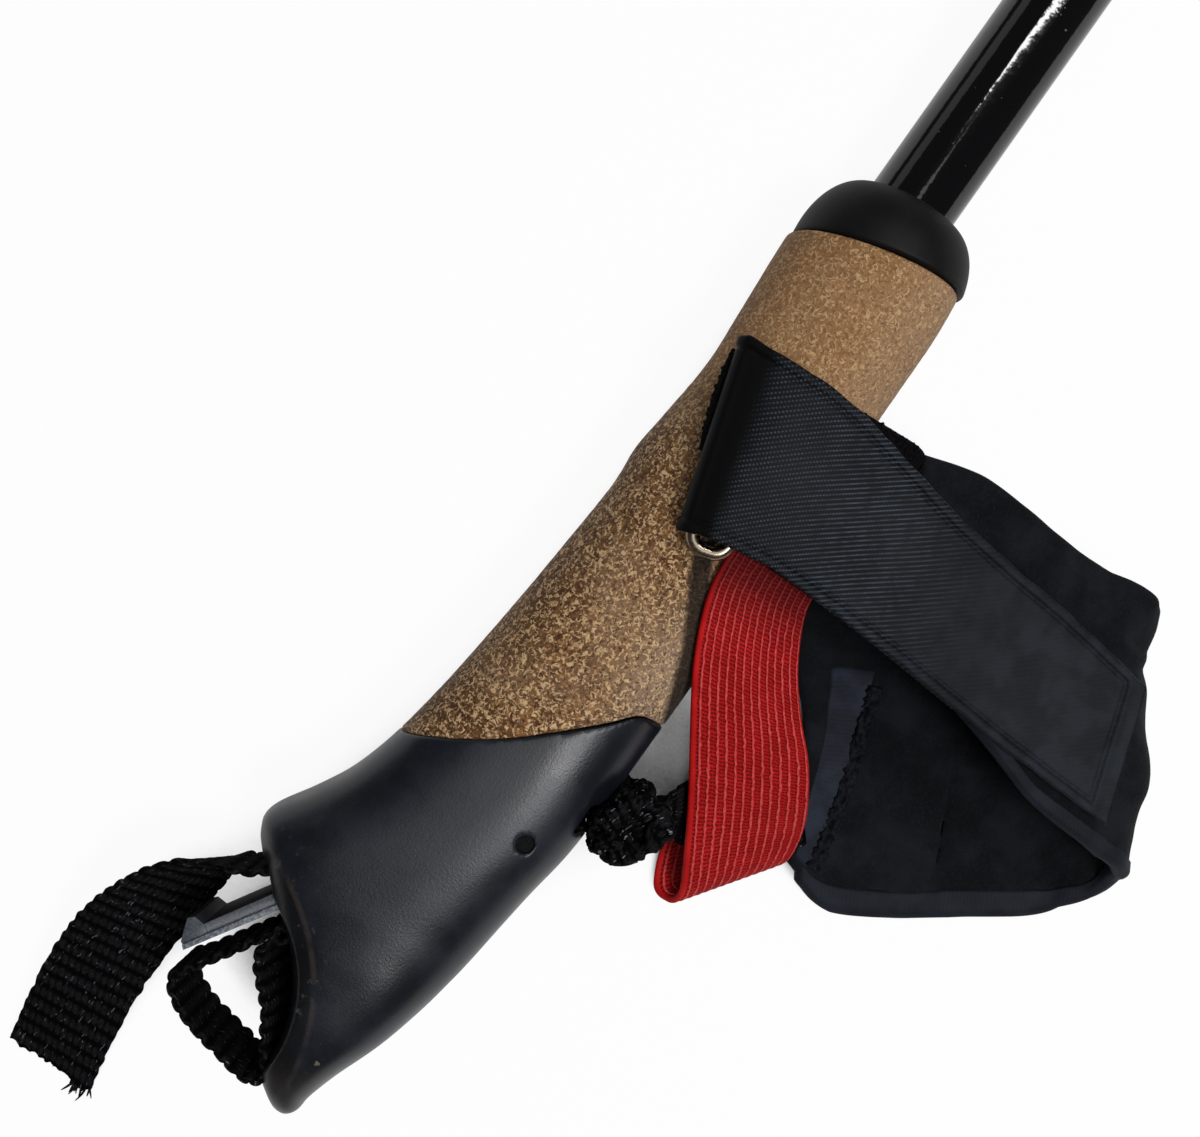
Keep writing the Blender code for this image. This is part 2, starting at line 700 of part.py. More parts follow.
def make_webbing_inner():
    """The strap's webbing from the rear port round the pin to the slot."""
    look = LOOKS["webbing"]
    wrap = PIN_RADIUS + SLIDE_GAP + WEBBING_THICKNESS / 2
    towards_pin = (PIN_PLACE + Vector((wrap, 0)) - PORT_PLACE).normalized()
    places = [PORT_PLACE + towards_pin * PORT_ROLL_REACH]
    places += arc(PIN_PLACE, wrap, *PIN_WRAP, 3)
    places.append(wedge_point(TURN_DEPTH + WEDGE_END_ROOM, -STRAND_BEHIND + GLUE_GAP))
    places.append(wedge_point(TURN_DEPTH / 2, -STRAND_BEHIND))
    places.append(wedge_point(STRAND_SPLIT + SLIDE_GAP, -STRAND_BEHIND))
    return cloth("webbing_inner", on_edge(places, WEBBING_WIDTH), WEBBING_THICKNESS, look, POLE)


def make_webbing_loop():
    """The loop outside the dish, which comes back into the slot under the wedge."""
    strands_apart = STRAND_UNDER + WEBBING_THICKNESS + SLIDE_GAP
    places = [wedge_point(STRAND_SPLIT, -STRAND_BEHIND), wedge_point(-2 * STRAND_SPLIT, -strands_apart)]
    places += [Vector(place) for place in LOOP_COURSE]
    for depth in (STRAND_TURN, STRAND_TURN / 2, STRAND_SPLIT):
        places.append(wedge_point(depth, -STRAND_UNDER))
    return cloth("webbing_loop", on_edge(places, WEBBING_WIDTH), WEBBING_THICKNESS, LOOKS["webbing"], POLE)


def make_webbing_tail():
    """The webbing round the wedge's inner end and out again, where it turns flat, down to the floor."""
    fold = WEDGE_INNER_THICKNESS / 2 + SLIDE_GAP + WEBBING_THICKNESS / 2
    start = math.degrees(WEDGE_ANGLE) - 90
    places = [wedge_point(STRAND_SPLIT + SLIDE_GAP, -STRAND_UNDER)]
    places.append(wedge_point(WEDGE_TRAVEL, -fold - GLUE_GAP))
    places += arc(wedge_point(TURN_DEPTH, 0), fold, start, start + 180, 7)
    places += [wedge_point(depth, rise) for depth, rise in TAIL_INSIDE]
    rows = on_edge(places, WEBBING_WIDTH) + leaning(TAIL_COURSE, Vector((TAIL_SKEW, 1)))
    return cloth("webbing_tail", rows, WEBBING_THICKNESS, LOOKS["webbing"], POLE)


def make_lead():
    """The webbing from the rear port to the cuff. Its roll at the port is round the strap's axis."""
    level = math.sin(AXIS_DROP) * -PORT_PLACE.x
    rows = on_edge(arc(PORT_PLACE, PORT_ROLL_RADIUS, 70, 285, 11), WEBBING_WIDTH, level)
    rows += leaning(LEAD_COURSE, LEAD_ACROSS)
    return cloth("strap_lead", rows, WEBBING_THICKNESS, LOOKS["webbing"], STRAP_AXIS, between=2)


def cuff_point(along, away, height):
    """A point above the floor from its place along the cuff's tube and away from the grip."""
    turn = Matrix.Rotation(CUFF_ANGLE, 2)
    place = CUFF_CENTRE + turn @ Vector((along, -away))
    return Vector((*place, height))


def make_cuff():
    rows = [[cuff_point(a, v, z), cuff_point(b, w, z)] for v, w, z, a, b in CUFF_ROWS]
    rows = smoothed(rows, CUFF_BETWEEN)
    cloth("cuff_panel", rows, CUFF_THICKNESS, LOOKS["neoprene"], STRAP_AXIS, between=1, across=2)
    hand = []
    wrist = []
    for a, b in rows[BINDING_FIRST_ROW:-CUFF_BETWEEN]:
        out = (b - a).normalized()
        hand.append((a - out * (BINDING_GAP + BINDING_WIDTH), a - out * BINDING_GAP))
        wrist.append((b + out * BINDING_GAP, b + out * (BINDING_GAP + BINDING_WIDTH)))
    covered = CUFF_BETWEEN * WRIST_BINDING_ROWS
    cloth("cuff_binding_hand", hand, BINDING_THICKNESS, LOOKS["binding"], STRAP_AXIS, between=1)
    cloth("cuff_binding_wrist", wrist[:covered], BINDING_THICKNESS, LOOKS["binding"], STRAP_AXIS, between=1)


def ring_frame_point(along, away, height):
    """A point from its place along the ring's bars, away from the outer bar, and its height."""
    turn = Matrix.Rotation(RING_ANGLE, 2)
    bar = Vector((RING_CENTRE.x, RING_CENTRE.y)) + turn @ Vector((0, RING_HALF_WIDTH))
    place = bar + turn @ Vector((along, -away))
    return Vector((*place, RING_CENTRE.z + height))


def ring_curl(degrees, along_from, along_to, away=0.0):
    """Rows for a band's curl round a bar of the ring."""
    curl = RING_WIRE_RADIUS + SLIDE_GAP + BAND_THICKNESS / 2
    rows = []
    for angle in map(math.radians, degrees):
        across = away + curl * math.cos(angle)
        height = curl * math.sin(angle)
        rows.append([ring_frame_point(end, across, height) for end in (along_from, along_to)])
    return rows


def band_rows():
    return [(Vector(b), Vector(a)) for a, b in zip(BAND_TOP_EDGE, BAND_BOTTOM_EDGE)]


def make_flap():
    """The closing band's flap, folded round the ring's outer bar."""
    rows = ring_curl(FOLD_DEGREES, FOLD_FROM, FOLD_TO) + band_rows()
    return cloth("band_flap", rows, BAND_THICKNESS, LOOKS["twill"], FLAP_AXIS)


def make_hook_tape():
    drop = Vector((0, 0, (BAND_THICKNESS + HOOK_TAPE_THICKNESS) / 2 + GLUE_GAP))
    rows = []
    for b, a in band_rows()[HOOK_TAPE_ROWS]:
        rows.append((b.lerp(a, HOOK_TAPE_INSET) - drop, a.lerp(b, HOOK_TAPE_INSET) - drop))
    return cloth("hook_tape", rows, HOOK_TAPE_THICKNESS, LOOKS["hook_tape"], FLAP_AXIS, between=2)


def make_band_under():
    """The band beneath the flap with its loop tape, whose end shows beyond the flap's edge."""
    rows = []
    for (b, a), out in zip(band_rows()[BAND_UNDER_ROWS], BAND_UNDER_OUTREACH):
        rows.append((b - BAND_UNDER_DROP, a - BAND_UNDER_DROP + Vector((out, 0, 0))))
    cloth("band_under", rows, BAND_THICKNESS, LOOKS["twill"], STRAP_AXIS)
    lift = Vector((0, 0, (BAND_THICKNESS + LOOP_TAPE_THICKNESS) / 2 + GLUE_GAP))
    pile = [(b.lerp(a, LOOP_TAPE_INSET) + lift, a.lerp(b, LOOP_TAPE_INSET) + lift) for b, a in rows]
    cloth("loop_tape", pile, LOOP_TAPE_THICKNESS, LOOKS["loop_tape"], STRAP_AXIS)


def make_ring():
    """The wire ring that the closing band is folded round: a rounded rectangle."""
    long = RING_HALF_LENGTH - RING_CORNER
    wide = RING_HALF_WIDTH - RING_CORNER
    middles = ((long, wide, 0), (-long, wide, 90), (-long, -wide, 180), (long, -wide, 270))
    curve = bpy.data.curves.new("ring", "CURVE")
    curve.dimensions = "3D"
    curve.bevel_depth = RING_WIRE_RADIUS
    curve.bevel_resolution = 2
    points = []
    for x, y, start in middles:
        points += arc(Vector((x, y)), RING_CORNER, start, start + 90, 5)
    spline = curve.splines.new("POLY")
    spline.points.add(len(points) - 1)
    for point, place in zip(spline.points, points):
        point.co = (*place, 0, 1)
    spline.use_cyclic_u = True
    curve.materials.append(LOOKS["nickel"])
    ring = bpy.data.objects.new("ring", curve)
    PARTS.objects.link(ring)
    put_under(ring, RING_AXIS)
    ring.location = RING_CENTRE
    ring.rotation_euler = (0, 0, RING_ANGLE)
    return ring


def make_tab():
    """The tab that holds the ring's inner bar and comes down beside the grip to the cuff."""
    rows = ring_curl(TAB_DEGREES, TAB_FROM, TAB_TO, 2 * RING_HALF_WIDTH)
    for x1, y1, x2, y2, z in TAB_COURSE:
        rows.append([Vector((x1, y1, z)), Vector((x2, y2, z))])
    first, last, height = TAB_END
    edge = CUFF_ROWS[0][0] - GLUE_GAP - BAND_THICKNESS / 2
    rows.append([cuff_point(first, edge, height), cuff_point(last, edge, height)])
    return cloth("ring_tab", rows, BAND_THICKNESS, LOOKS["webbing"], STRAP_AXIS)


def make_elastic():
    """The elastic thumb loop: down from the tab, round a fold on the floor and back beneath."""
    rows = [(Vector(row[:3]), Vector(row[3:])) for row in ELASTIC_COURSE]
    return cloth("elastic_loop", rows, ELASTIC_THICKNESS, LOOKS["elastic"], STRAP_AXIS)


def make_ferrule():
    """The moulded tip holder, with a socket for the shaft, a stop for the pad and a hole for the carbide."""
    hole = CARBIDE_LENGTH - CARBIDE_OUTSIDE
    stop = FERRULE_LENGTH - PAD_SOCKET_DEPTH - SLIDE_GAP
    start_radius = FERRULE_BORE + FERRULE_WALL
    stop_start = stop - FERRULE_STOP_LENGTH
    profile = [
        (0, FERRULE_LENGTH - hole - GLUE_GAP),
        (CARBIDE_RADIUS + GLUE_GAP, FERRULE_LENGTH - hole - GLUE_GAP),
        (CARBIDE_RADIUS + GLUE_GAP, FERRULE_LENGTH),
        (FERRULE_END_RADIUS, FERRULE_LENGTH),
        (start_radius, stop),
        (FERRULE_STOP_RADIUS, stop),
        (FERRULE_STOP_RADIUS, stop_start),
        (start_radius, stop_start),
        (start_radius, 0),
        (FERRULE_BORE, 0),
        (FERRULE_BORE, SHAFT_IN_FERRULE + GLUE_GAP),
        (0, SHAFT_IN_FERRULE + GLUE_GAP),
    ]
    return turned("tip_ferrule", profile, LOOKS["plastic"], POLE, place=FERRULE_START_X)


def make_carbide():
    half = CARBIDE_LENGTH / 2
    profile = [
        (0, half),
        (CARBIDE_RADIUS - CARBIDE_CHAMFER, half),
        (CARBIDE_RADIUS, half - CARBIDE_CHAMFER),
        (CARBIDE_RADIUS, -half),
        (0, -half),
    ]
    middle = CARBIDE_TIP_X - half
    return turned("carbide_tip", profile, LOOKS["steel"], POLE, steps=24, place=middle)


def make_pad():
    """The rubber road pad, pushed over the ferrule: a socket on a boot-shaped block."""
    sole = EXPOSED_LENGTH
    block_top = sole - PAD_BLOCK_HEIGHT
    socket_top = FERRULE_END_X - PAD_SOCKET_DEPTH
    neck = FERRULE_BORE + FERRULE_WALL + PAD_SOCKET_WALL
    corner = PAD_CORNER
    outline = [
        (socket_top, neck),
        (block_top - 2 * corner, neck),
        (block_top, PAD_TOE - 2 * corner),
        (block_top + corner, PAD_TOE),
        (sole - PAD_TOE_RISE - corner, PAD_TOE),
        (sole - PAD_TOE_RISE, PAD_TOE - corner),
        (sole, PAD_FLAT),
        (sole, -PAD_FLAT),
        (sole - PAD_HEEL_RISE, -PAD_HEEL + corner),
        (sole - PAD_HEEL_RISE - corner, -PAD_HEEL),
        (block_top + corner, -PAD_HEEL + corner),
        (block_top - corner, -neck - corner),
        (block_top - 2 * corner, -neck),
        (socket_top, -neck),
    ]
    pad = plate("rubber_pad", outline, PAD_HALF_WIDTH, LOOKS["rubber"], PAD_AXIS, bevel=PAD_EDGE)
    bore_end = CARBIDE_TIP_X + SLIDE_GAP
    wide = FERRULE_BORE + FERRULE_WALL + SLIDE_GAP
    socket_profile = [
        (0, bore_end),
        (FERRULE_END_RADIUS + SLIDE_GAP, bore_end),
        (FERRULE_END_RADIUS + SLIDE_GAP, FERRULE_END_X),
        (wide, socket_top),
        (wide, socket_top - CUT_MARGIN),
        (0, socket_top - CUT_MARGIN),
    ]
    cut(pad, as_cutter(turned("pad_socket", socket_profile, None, POLE)))
    seat_half = WASHER_THICKNESS / 2 + SLIDE_GAP
    middle = (bore_end + seat_half, 0, 0)
    open_end = (bore_end + seat_half - GLUE_GAP, 0, 0)
    seat = rod("washer_seat", WASHER_RADIUS + GLUE_GAP, seat_half + GLUE_GAP, open_end, None, POLE, axis="X")
    cut(pad, as_cutter(seat))
    rod("pad_washer", WASHER_RADIUS, WASHER_THICKNESS / 2, middle, LOOKS["steel"], PAD_AXIS, axis="X")
    return pad


clear_scene()
PARTS = collection("nordic_walking_pole")
CUTTERS = collection("cutters")
LOOKS = {
    "lacquer": material("black_gloss_lacquer", (0.010, 0.010, 0.011), 0.12),
    "plastic": material("black_matt_plastic", (0.022, 0.023, 0.025), 0.48),
    "grey_plastic": material("grey_plastic", (0.16, 0.17, 0.18), 0.50),
    "cork": material("cork", (0.38, 0.22, 0.11), 0.85),
    "webbing": material("black_webbing", (0.012, 0.012, 0.013), 0.90),
    "twill": material("black_twill", (0.016, 0.017, 0.020), 0.75),
    "neoprene": material("black_padded_cloth", (0.014, 0.015, 0.017), 0.85),
    "binding": material("black_binding", (0.022, 0.024, 0.028), 0.80),
    "hook_tape": material("black_hook_tape", (0.012, 0.012, 0.013), 0.80),
    "loop_tape": material("black_loop_tape", (0.015, 0.015, 0.016), 0.95),
    "elastic": material("red_elastic", (0.48, 0.012, 0.014), 0.70),
    "nickel": material("nickel_plate", (0.62, 0.60, 0.56), 0.22, 1.0),
    "steel": material("steel", (0.50, 0.50, 0.50), 0.35, 1.0),
    "rubber": material("black_rubber", (0.018, 0.018, 0.018), 0.85),
}
POLE = empty("pole_axis", (GRIP_X, GRIP_Y, COLLAR_RADIUS), (0, AXIS_DROP, 0))
WEDGE_AXIS = empty("wedge_slide_axis", (*WEDGE_MOUTH, 0), (0, 0, WEDGE_ANGLE), POLE)
PAD_AXIS = empty("pad_pull_axis", (EXPOSED_LENGTH, 0, 0), (0, 0, 0), POLE)
STRAP = empty("strap_frame", (GRIP_X, GRIP_Y, COLLAR_RADIUS))
STRAP_AXIS = empty("strap_swing_axis", (*PORT_PLACE, 0), (0, 0, 0), STRAP)
RING_AXIS = empty("ring_axis", ring_frame_point(0, 2 * RING_HALF_WIDTH, 0), (0, 0, RING_ANGLE), STRAP_AXIS)
FLAP_AXIS = empty("flap_axis", ring_frame_point(0, 0, 0), (0, 0, RING_ANGLE), RING_AXIS)
make_shaft()
make_grip_core()
make_collar()
make_cork()
make_head()
rod("strap_pin", PIN_RADIUS, PIN_HALF_LENGTH, (*PIN_PLACE, 0), LOOKS["steel"], POLE, sides=24)
make_wedge()
make_webbing_inner()
make_webbing_loop()
make_webbing_tail()
make_lead()
make_cuff()
make_flap()
make_hook_tape()
make_band_under()
make_ring()
make_tab()
make_elastic()
make_ferrule()
make_carbide()
make_pad()
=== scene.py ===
"""Looks of the nordic walking pole: cork grip, moulded head and collar, wrist strap, shaft and road pad.

Everything is in metres and in the frame of the CAD model. The pole's own frame has its origin on the shaft's
axis at the collar's tip-side face, with +X towards the tip. The strap's frame has the same origin, untilted.
"""

import functools
import math

import bmesh
import bpy
import numpy as np
from mathutils import Matrix, Vector, noise
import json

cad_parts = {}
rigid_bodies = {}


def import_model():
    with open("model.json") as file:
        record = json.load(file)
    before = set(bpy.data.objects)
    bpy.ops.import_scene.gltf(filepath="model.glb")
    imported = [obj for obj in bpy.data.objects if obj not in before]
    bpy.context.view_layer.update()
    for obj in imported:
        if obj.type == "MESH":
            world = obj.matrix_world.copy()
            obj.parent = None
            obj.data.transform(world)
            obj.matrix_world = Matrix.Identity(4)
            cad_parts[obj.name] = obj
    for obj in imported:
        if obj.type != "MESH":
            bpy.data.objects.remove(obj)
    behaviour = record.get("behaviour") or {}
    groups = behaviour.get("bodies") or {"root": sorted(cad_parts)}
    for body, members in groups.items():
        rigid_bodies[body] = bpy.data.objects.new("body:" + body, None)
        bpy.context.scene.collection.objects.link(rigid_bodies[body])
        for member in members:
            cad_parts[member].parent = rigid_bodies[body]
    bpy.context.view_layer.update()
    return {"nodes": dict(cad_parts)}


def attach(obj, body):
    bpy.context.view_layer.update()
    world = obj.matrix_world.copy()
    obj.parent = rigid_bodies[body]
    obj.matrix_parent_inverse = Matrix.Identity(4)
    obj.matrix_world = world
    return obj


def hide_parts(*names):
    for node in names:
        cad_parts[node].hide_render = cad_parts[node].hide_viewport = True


for old in list(bpy.data.objects):
    bpy.data.objects.remove(old, do_unlink=True)
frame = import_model()
NODES = frame["nodes"]

MM = 0.001

# Where the pole lies
EXPOSED_LENGTH = 0.930
COLLAR_RADIUS = 0.0181
PAD_HALF_WIDTH = 0.0145
AXIS_DROP = math.asin((COLLAR_RADIUS - PAD_HALF_WIDTH) / EXPOSED_LENGTH)
GRIP_PLACE = (-0.3417, 0.032, COLLAR_RADIUS)
POLE = Matrix.Translation(GRIP_PLACE) @ Matrix.Rotation(AXIS_DROP, 4, "Y")
STRAP = Matrix.Translation(GRIP_PLACE)
GRIP_XY = np.array(GRIP_PLACE[:2])
UP = np.array((0.0, 0.0, 1.0))

# The grip's sections: distance behind the collar's face, reach to the front, to the rear and to each side
GRIP_STATIONS = (
    (0.006, 0.0164, 0.0176, 0.0168),
    (0.019, 0.0170, 0.0190, 0.0173),
    (0.036, 0.0160, 0.0192, 0.0167),
    (0.049, 0.0153, 0.0194, 0.0163),
    (0.062, 0.0164, 0.0194, 0.0163),
    (0.071, 0.0173, 0.0194, 0.0165),
    (0.080, 0.0168, 0.0194, 0.0165),
    (0.095, 0.0178, 0.0194, 0.0165),
    (0.110, 0.0190, 0.0192, 0.0166),
    (0.129, 0.0210, 0.0190, 0.0168),
    (0.144, 0.0234, 0.0184, 0.0170),
    (0.155, 0.0265, 0.0168, 0.0172),
    (0.163, 0.0305, 0.0158, 0.0173),
    (0.171, 0.0352, 0.0149, 0.0174),
    (0.1748, 0.0346, 0.0144, 0.0174),
    (0.178, 0.0320, 0.0139, 0.0173),
    (0.186, 0.0240, 0.0124, 0.0170),
    (0.196, 0.0180, 0.0098, 0.0162),
    (0.206, 0.0138, 0.0061, 0.0142),
    (0.2130, 0.0080, 0.0041, 0.0112),
    (0.2163, 0.0042, 0.0038, 0.0088),
    (0.2182, 0.0016, 0.0026, 0.0060),
)
ROUND_POWER = 2.1
HEAD_POWER = 2.7
HEAD_FIRST = 0.095
JOINT_LENGTH = 0.045

# The joint between cork and head, seen from the side, and the gap that is left at every glued joint
JOINT_LINE = (
    (-0.1436, 0.0234),
    (-0.1322, 0.0062),
    (-0.1193, -0.0080),
    (-0.1138, -0.0135),
    (-0.1131, -0.0190),
)
GLUE_GAP = 0.0003
CORK_BORE = 0.0118
COLLAR_NOSE_RADIUS = 0.0100
COLLAR_FACE = 0.0012
COLLAR_BORE = 0.0093
COLLAR_POCKET = 0.0075
COLLAR_JOINT = 0.0145
COLLAR_TILT = math.radians(5.5)
COLLAR_SLANT = math.radians(13)

# Head. The dish's wall rolls over into the head's flat sides, so its radius grows towards both sides.
DISH_RADIUS = 0.0349
DISH_CENTRE = np.array((-0.2123, 0.0392))
DISH_WALL_RADIUS = DISH_RADIUS - 0.0023
DISH_RIM_RADIUS = DISH_RADIUS + 0.0032
DISH_WALL_HEIGHT = 0.0075
HEAD_HALF_WIDTH = 0.0176
PIN_PLACE = np.array((-0.1461, -0.0094))
PIN_RADIUS = 0.0020
PIN_HOLE_RADIUS = 0.00180
HEAD_VOXEL = 0.00045
CHANNEL_HALF_WIDTH = 0.0105
PAST_HEAD = 0.03

# Webbing and wedge
WEBBING_WIDTH = 0.020
WEBBING_THICKNESS = 0.0017
WEDGE_MOUTH = np.array((-0.1855, 0.0225))
WEDGE_ANGLE = math.radians(-31.8)
WEDGE_OUTSIDE = 0.021
WEDGE_INSIDE = 0.013
WEDGE_TRAVEL = 0.019
WEDGE_END_ROOM = 0.0015
WEDGE_INNER_THICKNESS = 0.0030
WEDGE_WIDTH = 0.019
TURN_DEPTH = WEDGE_INSIDE + WEDGE_TRAVEL + WEDGE_END_ROOM
STRAND_BEHIND = 0.0068
STRAND_UNDER = 0.0040
STRAND_SPLIT = 0.0030
STRAND_TURN = 0.0025 - WEDGE_OUTSIDE
SLIDE_GAP = 0.0005
TAIL_INSIDE = ((0.010, 0.0059), (-0.001, 0.0083))
LOOP_COURSE = (
    (-0.2030, 0.0147),
    (-0.2088, 0.0108),
    (-0.2133, 0.0074),
    (-0.2153, 0.0084),
    (-0.2151, 0.0115),
    (-0.2141, 0.0165),
    (-0.2130, 0.0225),
    (-0.2106, 0.0285),
    (-0.2070, 0.0314),
)
TAIL_COURSE = (
    (-0.1850, 0.0358, 0.0, 82),
    (-0.1895, 0.0396, -0.001, 62),
    (-0.1980, 0.0428, -0.003, 42),
    (-0.2105, 0.0455, -0.0070, 22),
    (-0.2235, 0.0462, -0.0110, 12),
    (-0.2360, 0.0452, -0.0145, 5),
    (-0.2466, 0.0437, -0.0175, 1),
)
TAIL_SKEW = -0.05
LOOP_SHIFT = 0.0017
LOOP_LEAN = (0.0035, 0.0040, 0.0035, 0.0025)
WEDGE_OUTLINE = (
    (-0.0192, -0.0001),
    (0.0025, -0.0002),
    (0.0050, -0.0012),
    (0.0115, -0.0015),
    (0.0130, 0.0),
    (0.0115, 0.0015),
    (0.0070, 0.0022),
    (0.0010, 0.0031),
    (-0.0135, 0.0030),
    (-0.0146, 0.0050),
    (-0.0160, 0.0053),
    (-0.0189, 0.0017),
)
GROOVE_RISE = 0.0011

# Strap
PORT_PLACE = np.array((-0.1348, -0.0236))
PORT_ROLL_RADIUS = 0.0054
PORT_ROLL_REACH = PORT_ROLL_RADIUS + WEBBING_THICKNESS / 2 + SLIDE_GAP
PIN_WRAP = (22, 70)
LEAD_COURSE = (
    (-0.1290, -0.0306, -0.0031, 62),
    (-0.1240, -0.0366, -0.0081, 30),
    (-0.1182, -0.0428, -0.0107, 8),
    (-0.1136, -0.0480, -0.0109, 0),
    (-0.1096, -0.0522, -0.0101, 0),
)
LEAD_ACROSS = (0.76, 0.65)
# Line beside the thumb loop where a painted shadow of the strap darkens the cork
STRAP_SHADOW_LINE = (
    (-0.4223, 0.0274, 0.0),
    (-0.4267, 0.0249, 0.0),
    (-0.4392, 0.0177, 0.0),
    (-0.4527, 0.0122, 0.0),
)

# Cuff: distance away from the grip at the thumb end and at the wrist end, height, and the two ends' places
CUFF_CENTRE = np.array((-0.075, -0.075))
CUFF_ANGLE = math.radians(27)
CUFF_THICKNESS = 0.0030
CUFF_ROWS = (
    (-0.0368, -0.0368, -0.0129, -0.0345, 0.0370),
    (-0.0290, -0.0290, -0.0149, -0.0400, 0.0485),
    (-0.0150, -0.0150, -0.0158, -0.0402, 0.0470),
    (0.0040, 0.0040, -0.0158, -0.0372, 0.0398),
    (0.0198, 0.0173, -0.0155, -0.0350, 0.0338),
    (0.0292, 0.0242, -0.0131, -0.0315, 0.0303),
    (0.0322, 0.0266, -0.0081, -0.0265, 0.0290),
    (0.0310, 0.0258, -0.0026, -0.0248, 0.0290),
    (0.0262, 0.0222, 0.0019, -0.0215, 0.0320),
    (0.0175, 0.0150, 0.0049, -0.0180, 0.0345),
    (0.0060, 0.0060, 0.0068, -0.0115, 0.0385),
    (-0.0040, -0.0040, 0.0080, -0.0025, 0.0440),
    (-0.0130, -0.0130, 0.0076, 0.0055, 0.0488),
    (-0.0250, -0.0250, 0.0070, 0.0150, 0.0513),
)
TURN_WAVE = (
    (-0.01, -0.0026),
    (0.15, -0.0018),
    (0.32, 0.0006),
    (0.52, 0.0004),
    (0.79, -0.0022),
    (0.93, 0.0010),
    (1.01, 0.0020),
)
CAD_CUFF_EDGE = -0.0357
CUFF_CREASES = (
    ((-0.031, -0.0055), (-0.012, -0.0052), 0.0012, 0.0008, True),
    ((-0.0295, -0.0054), (-0.0290, -0.0054), 0.0010, 0.0010, True),
    ((0.0360, -0.0080), (0.0310, 0.0110), 0.0020, 0.0009, True),
    ((0.0300, -0.0020), (0.0250, 0.0080), 0.0022, 0.0012, False),
    ((0.0260, 0.0100), (0.0180, 0.0240), 0.0018, 0.0010, False),
    ((0.0340, 0.0040), (0.0180, 0.0060), 0.0026, 0.0012, False),
    ((0.0120, 0.0110), (0.0020, 0.0230), 0.0024, 0.0009, False),
)
CUFF_STEP = 0.0008
CUFF_COLUMNS = 104
BINDING_OUTSIDE = 0.0035
CUFF_TURN_RUN = 0.066

# Closing band, ring, tab and elastic
BAND_THICKNESS = 0.0012
BAND_TOP_EDGE = (
    (-0.0435, 0.0020, 0.0252),
    (-0.0432, -0.0105, 0.0241),
    (-0.0452, -0.0248, 0.0209),
    (-0.0478, -0.0390, 0.0181),
    (-0.0494, -0.0560, 0.0149),
    (-0.0504, -0.0710, 0.0125),
    (-0.0528, -0.0900, 0.0100),
)
BAND_BOTTOM_EDGE = (
    (-0.0784, -0.0065, 0.0248),
    (-0.0768, -0.0170, 0.0235),
    (-0.0766, -0.0300, 0.0203),
    (-0.0770, -0.0450, 0.0173),
    (-0.0780, -0.0620, 0.0141),
    (-0.0788, -0.0790, 0.0117),
    (-0.0792, -0.0995, 0.0092),
)
UNDER_BAND_REACH = (
    (1.0, 0.0002),
    (1.4, 0.0014),
    (1.8, 0.0030),
    (2.15, 0.0042),
    (2.30, 0.0036),
    (2.40, 0.0),
    (3.0, 0.0),
    (4.0, 0.0),
)
FOLD_FROM = -0.0165
FOLD_TO = 0.0215
FOLD_DEGREES = (215, 190, 160, 130, 100)
FOLD_PILE = ((0.0190, 0.0003), (0.0150, 0.0011), (0.0100, 0.0013), (0.0040, 0.0011), (-0.0010, 0.0004))
RING_CENTRE = np.array((-0.0630, 0.0002, 0.0207))
RING_ANGLE = math.radians(17)
RING_WIRE_RADIUS = 0.0014
RING_HALF_LENGTH = 0.0188
RING_HALF_WIDTH = 0.0036
RING_CORNER = 0.0030
TAB_FROM = -0.0110
TAB_TO = 0.0145
TAB_EXTRA = 0.0055
TAB_DEGREES = (85, 130, 180, 230, 262)
TAB_COURSE = (
    (-0.0717, -0.0137, -0.0465, -0.0062, 0.0176),
    (-0.0722, -0.0190, -0.0470, -0.0140, 0.0141),
    (-0.0726, -0.0235, -0.0478, -0.0208, 0.0081),
    (-0.0732, -0.0262, -0.0488, -0.0222, -0.0001),
    (-0.0742, -0.0290, -0.0500, -0.0220, -0.0081),
)
TAB_END = (0.0184, 0.0440, -0.0131)
ELASTIC_THICKNESS = 0.0015
ELASTIC_WIDTH = 0.0200
ELASTIC_CORD_GAP = 0.00150
ELASTIC_FIRST_CORD = -0.0084
ELASTIC_LAST_CORD = 0.0096
ELASTIC_TURN = 0.092
ELASTIC_COURSE = (
    (-0.0739, -0.0089, 0.0175, -0.0724, -0.0270, 0.0152),
    (-0.0833, -0.0094, 0.0166, -0.0793, -0.0280, 0.0131),
    (-0.0912, -0.0118, 0.0153, -0.0882, -0.0329, 0.0104),
    (-0.1003, -0.0164, 0.0121, -0.0958, -0.0394, 0.0073),
    (-0.1108, -0.0235, 0.0069, -0.1025, -0.0465, 0.0039),
    (-0.1200, -0.0300, 0.0019, -0.1095, -0.0520, -0.0001),
    (-0.1310, -0.0372, -0.0041, -0.1150, -0.0553, -0.0051),
    (-0.1400, -0.0425, -0.0095, -0.1205, -0.0568, -0.0091),
    (-0.1436, -0.0420, -0.0135, -0.1236, -0.0560, -0.0126),
    (-0.1424, -0.0380, -0.0158, -0.1212, -0.0552, -0.0153),
    (-0.1309, -0.0336, -0.0164, -0.1140, -0.0535, -0.0163),
    (-0.1170, -0.0315, -0.0166, -0.1060, -0.0525, -0.0163),
    (-0.1060, -0.0270, -0.0166, -0.0965, -0.0475, -0.0163),
)


def make_camera():
    """The photo is taken from above the grip, with the shaft towards the upper right."""
    camera = bpy.data.objects.new("camera", bpy.data.cameras.new("camera"))
    camera.location = (-0.4367, 0.04117, 0.3301)
    camera.rotation_euler = (0, 0, math.radians(-54.8))
    camera.data.sensor_width = 36
    camera.data.lens = 46.8
    camera.data.clip_start = 0.01
    bpy.context.scene.collection.objects.link(camera)
    bpy.context.scene.camera = camera


make_camera()


# Materials

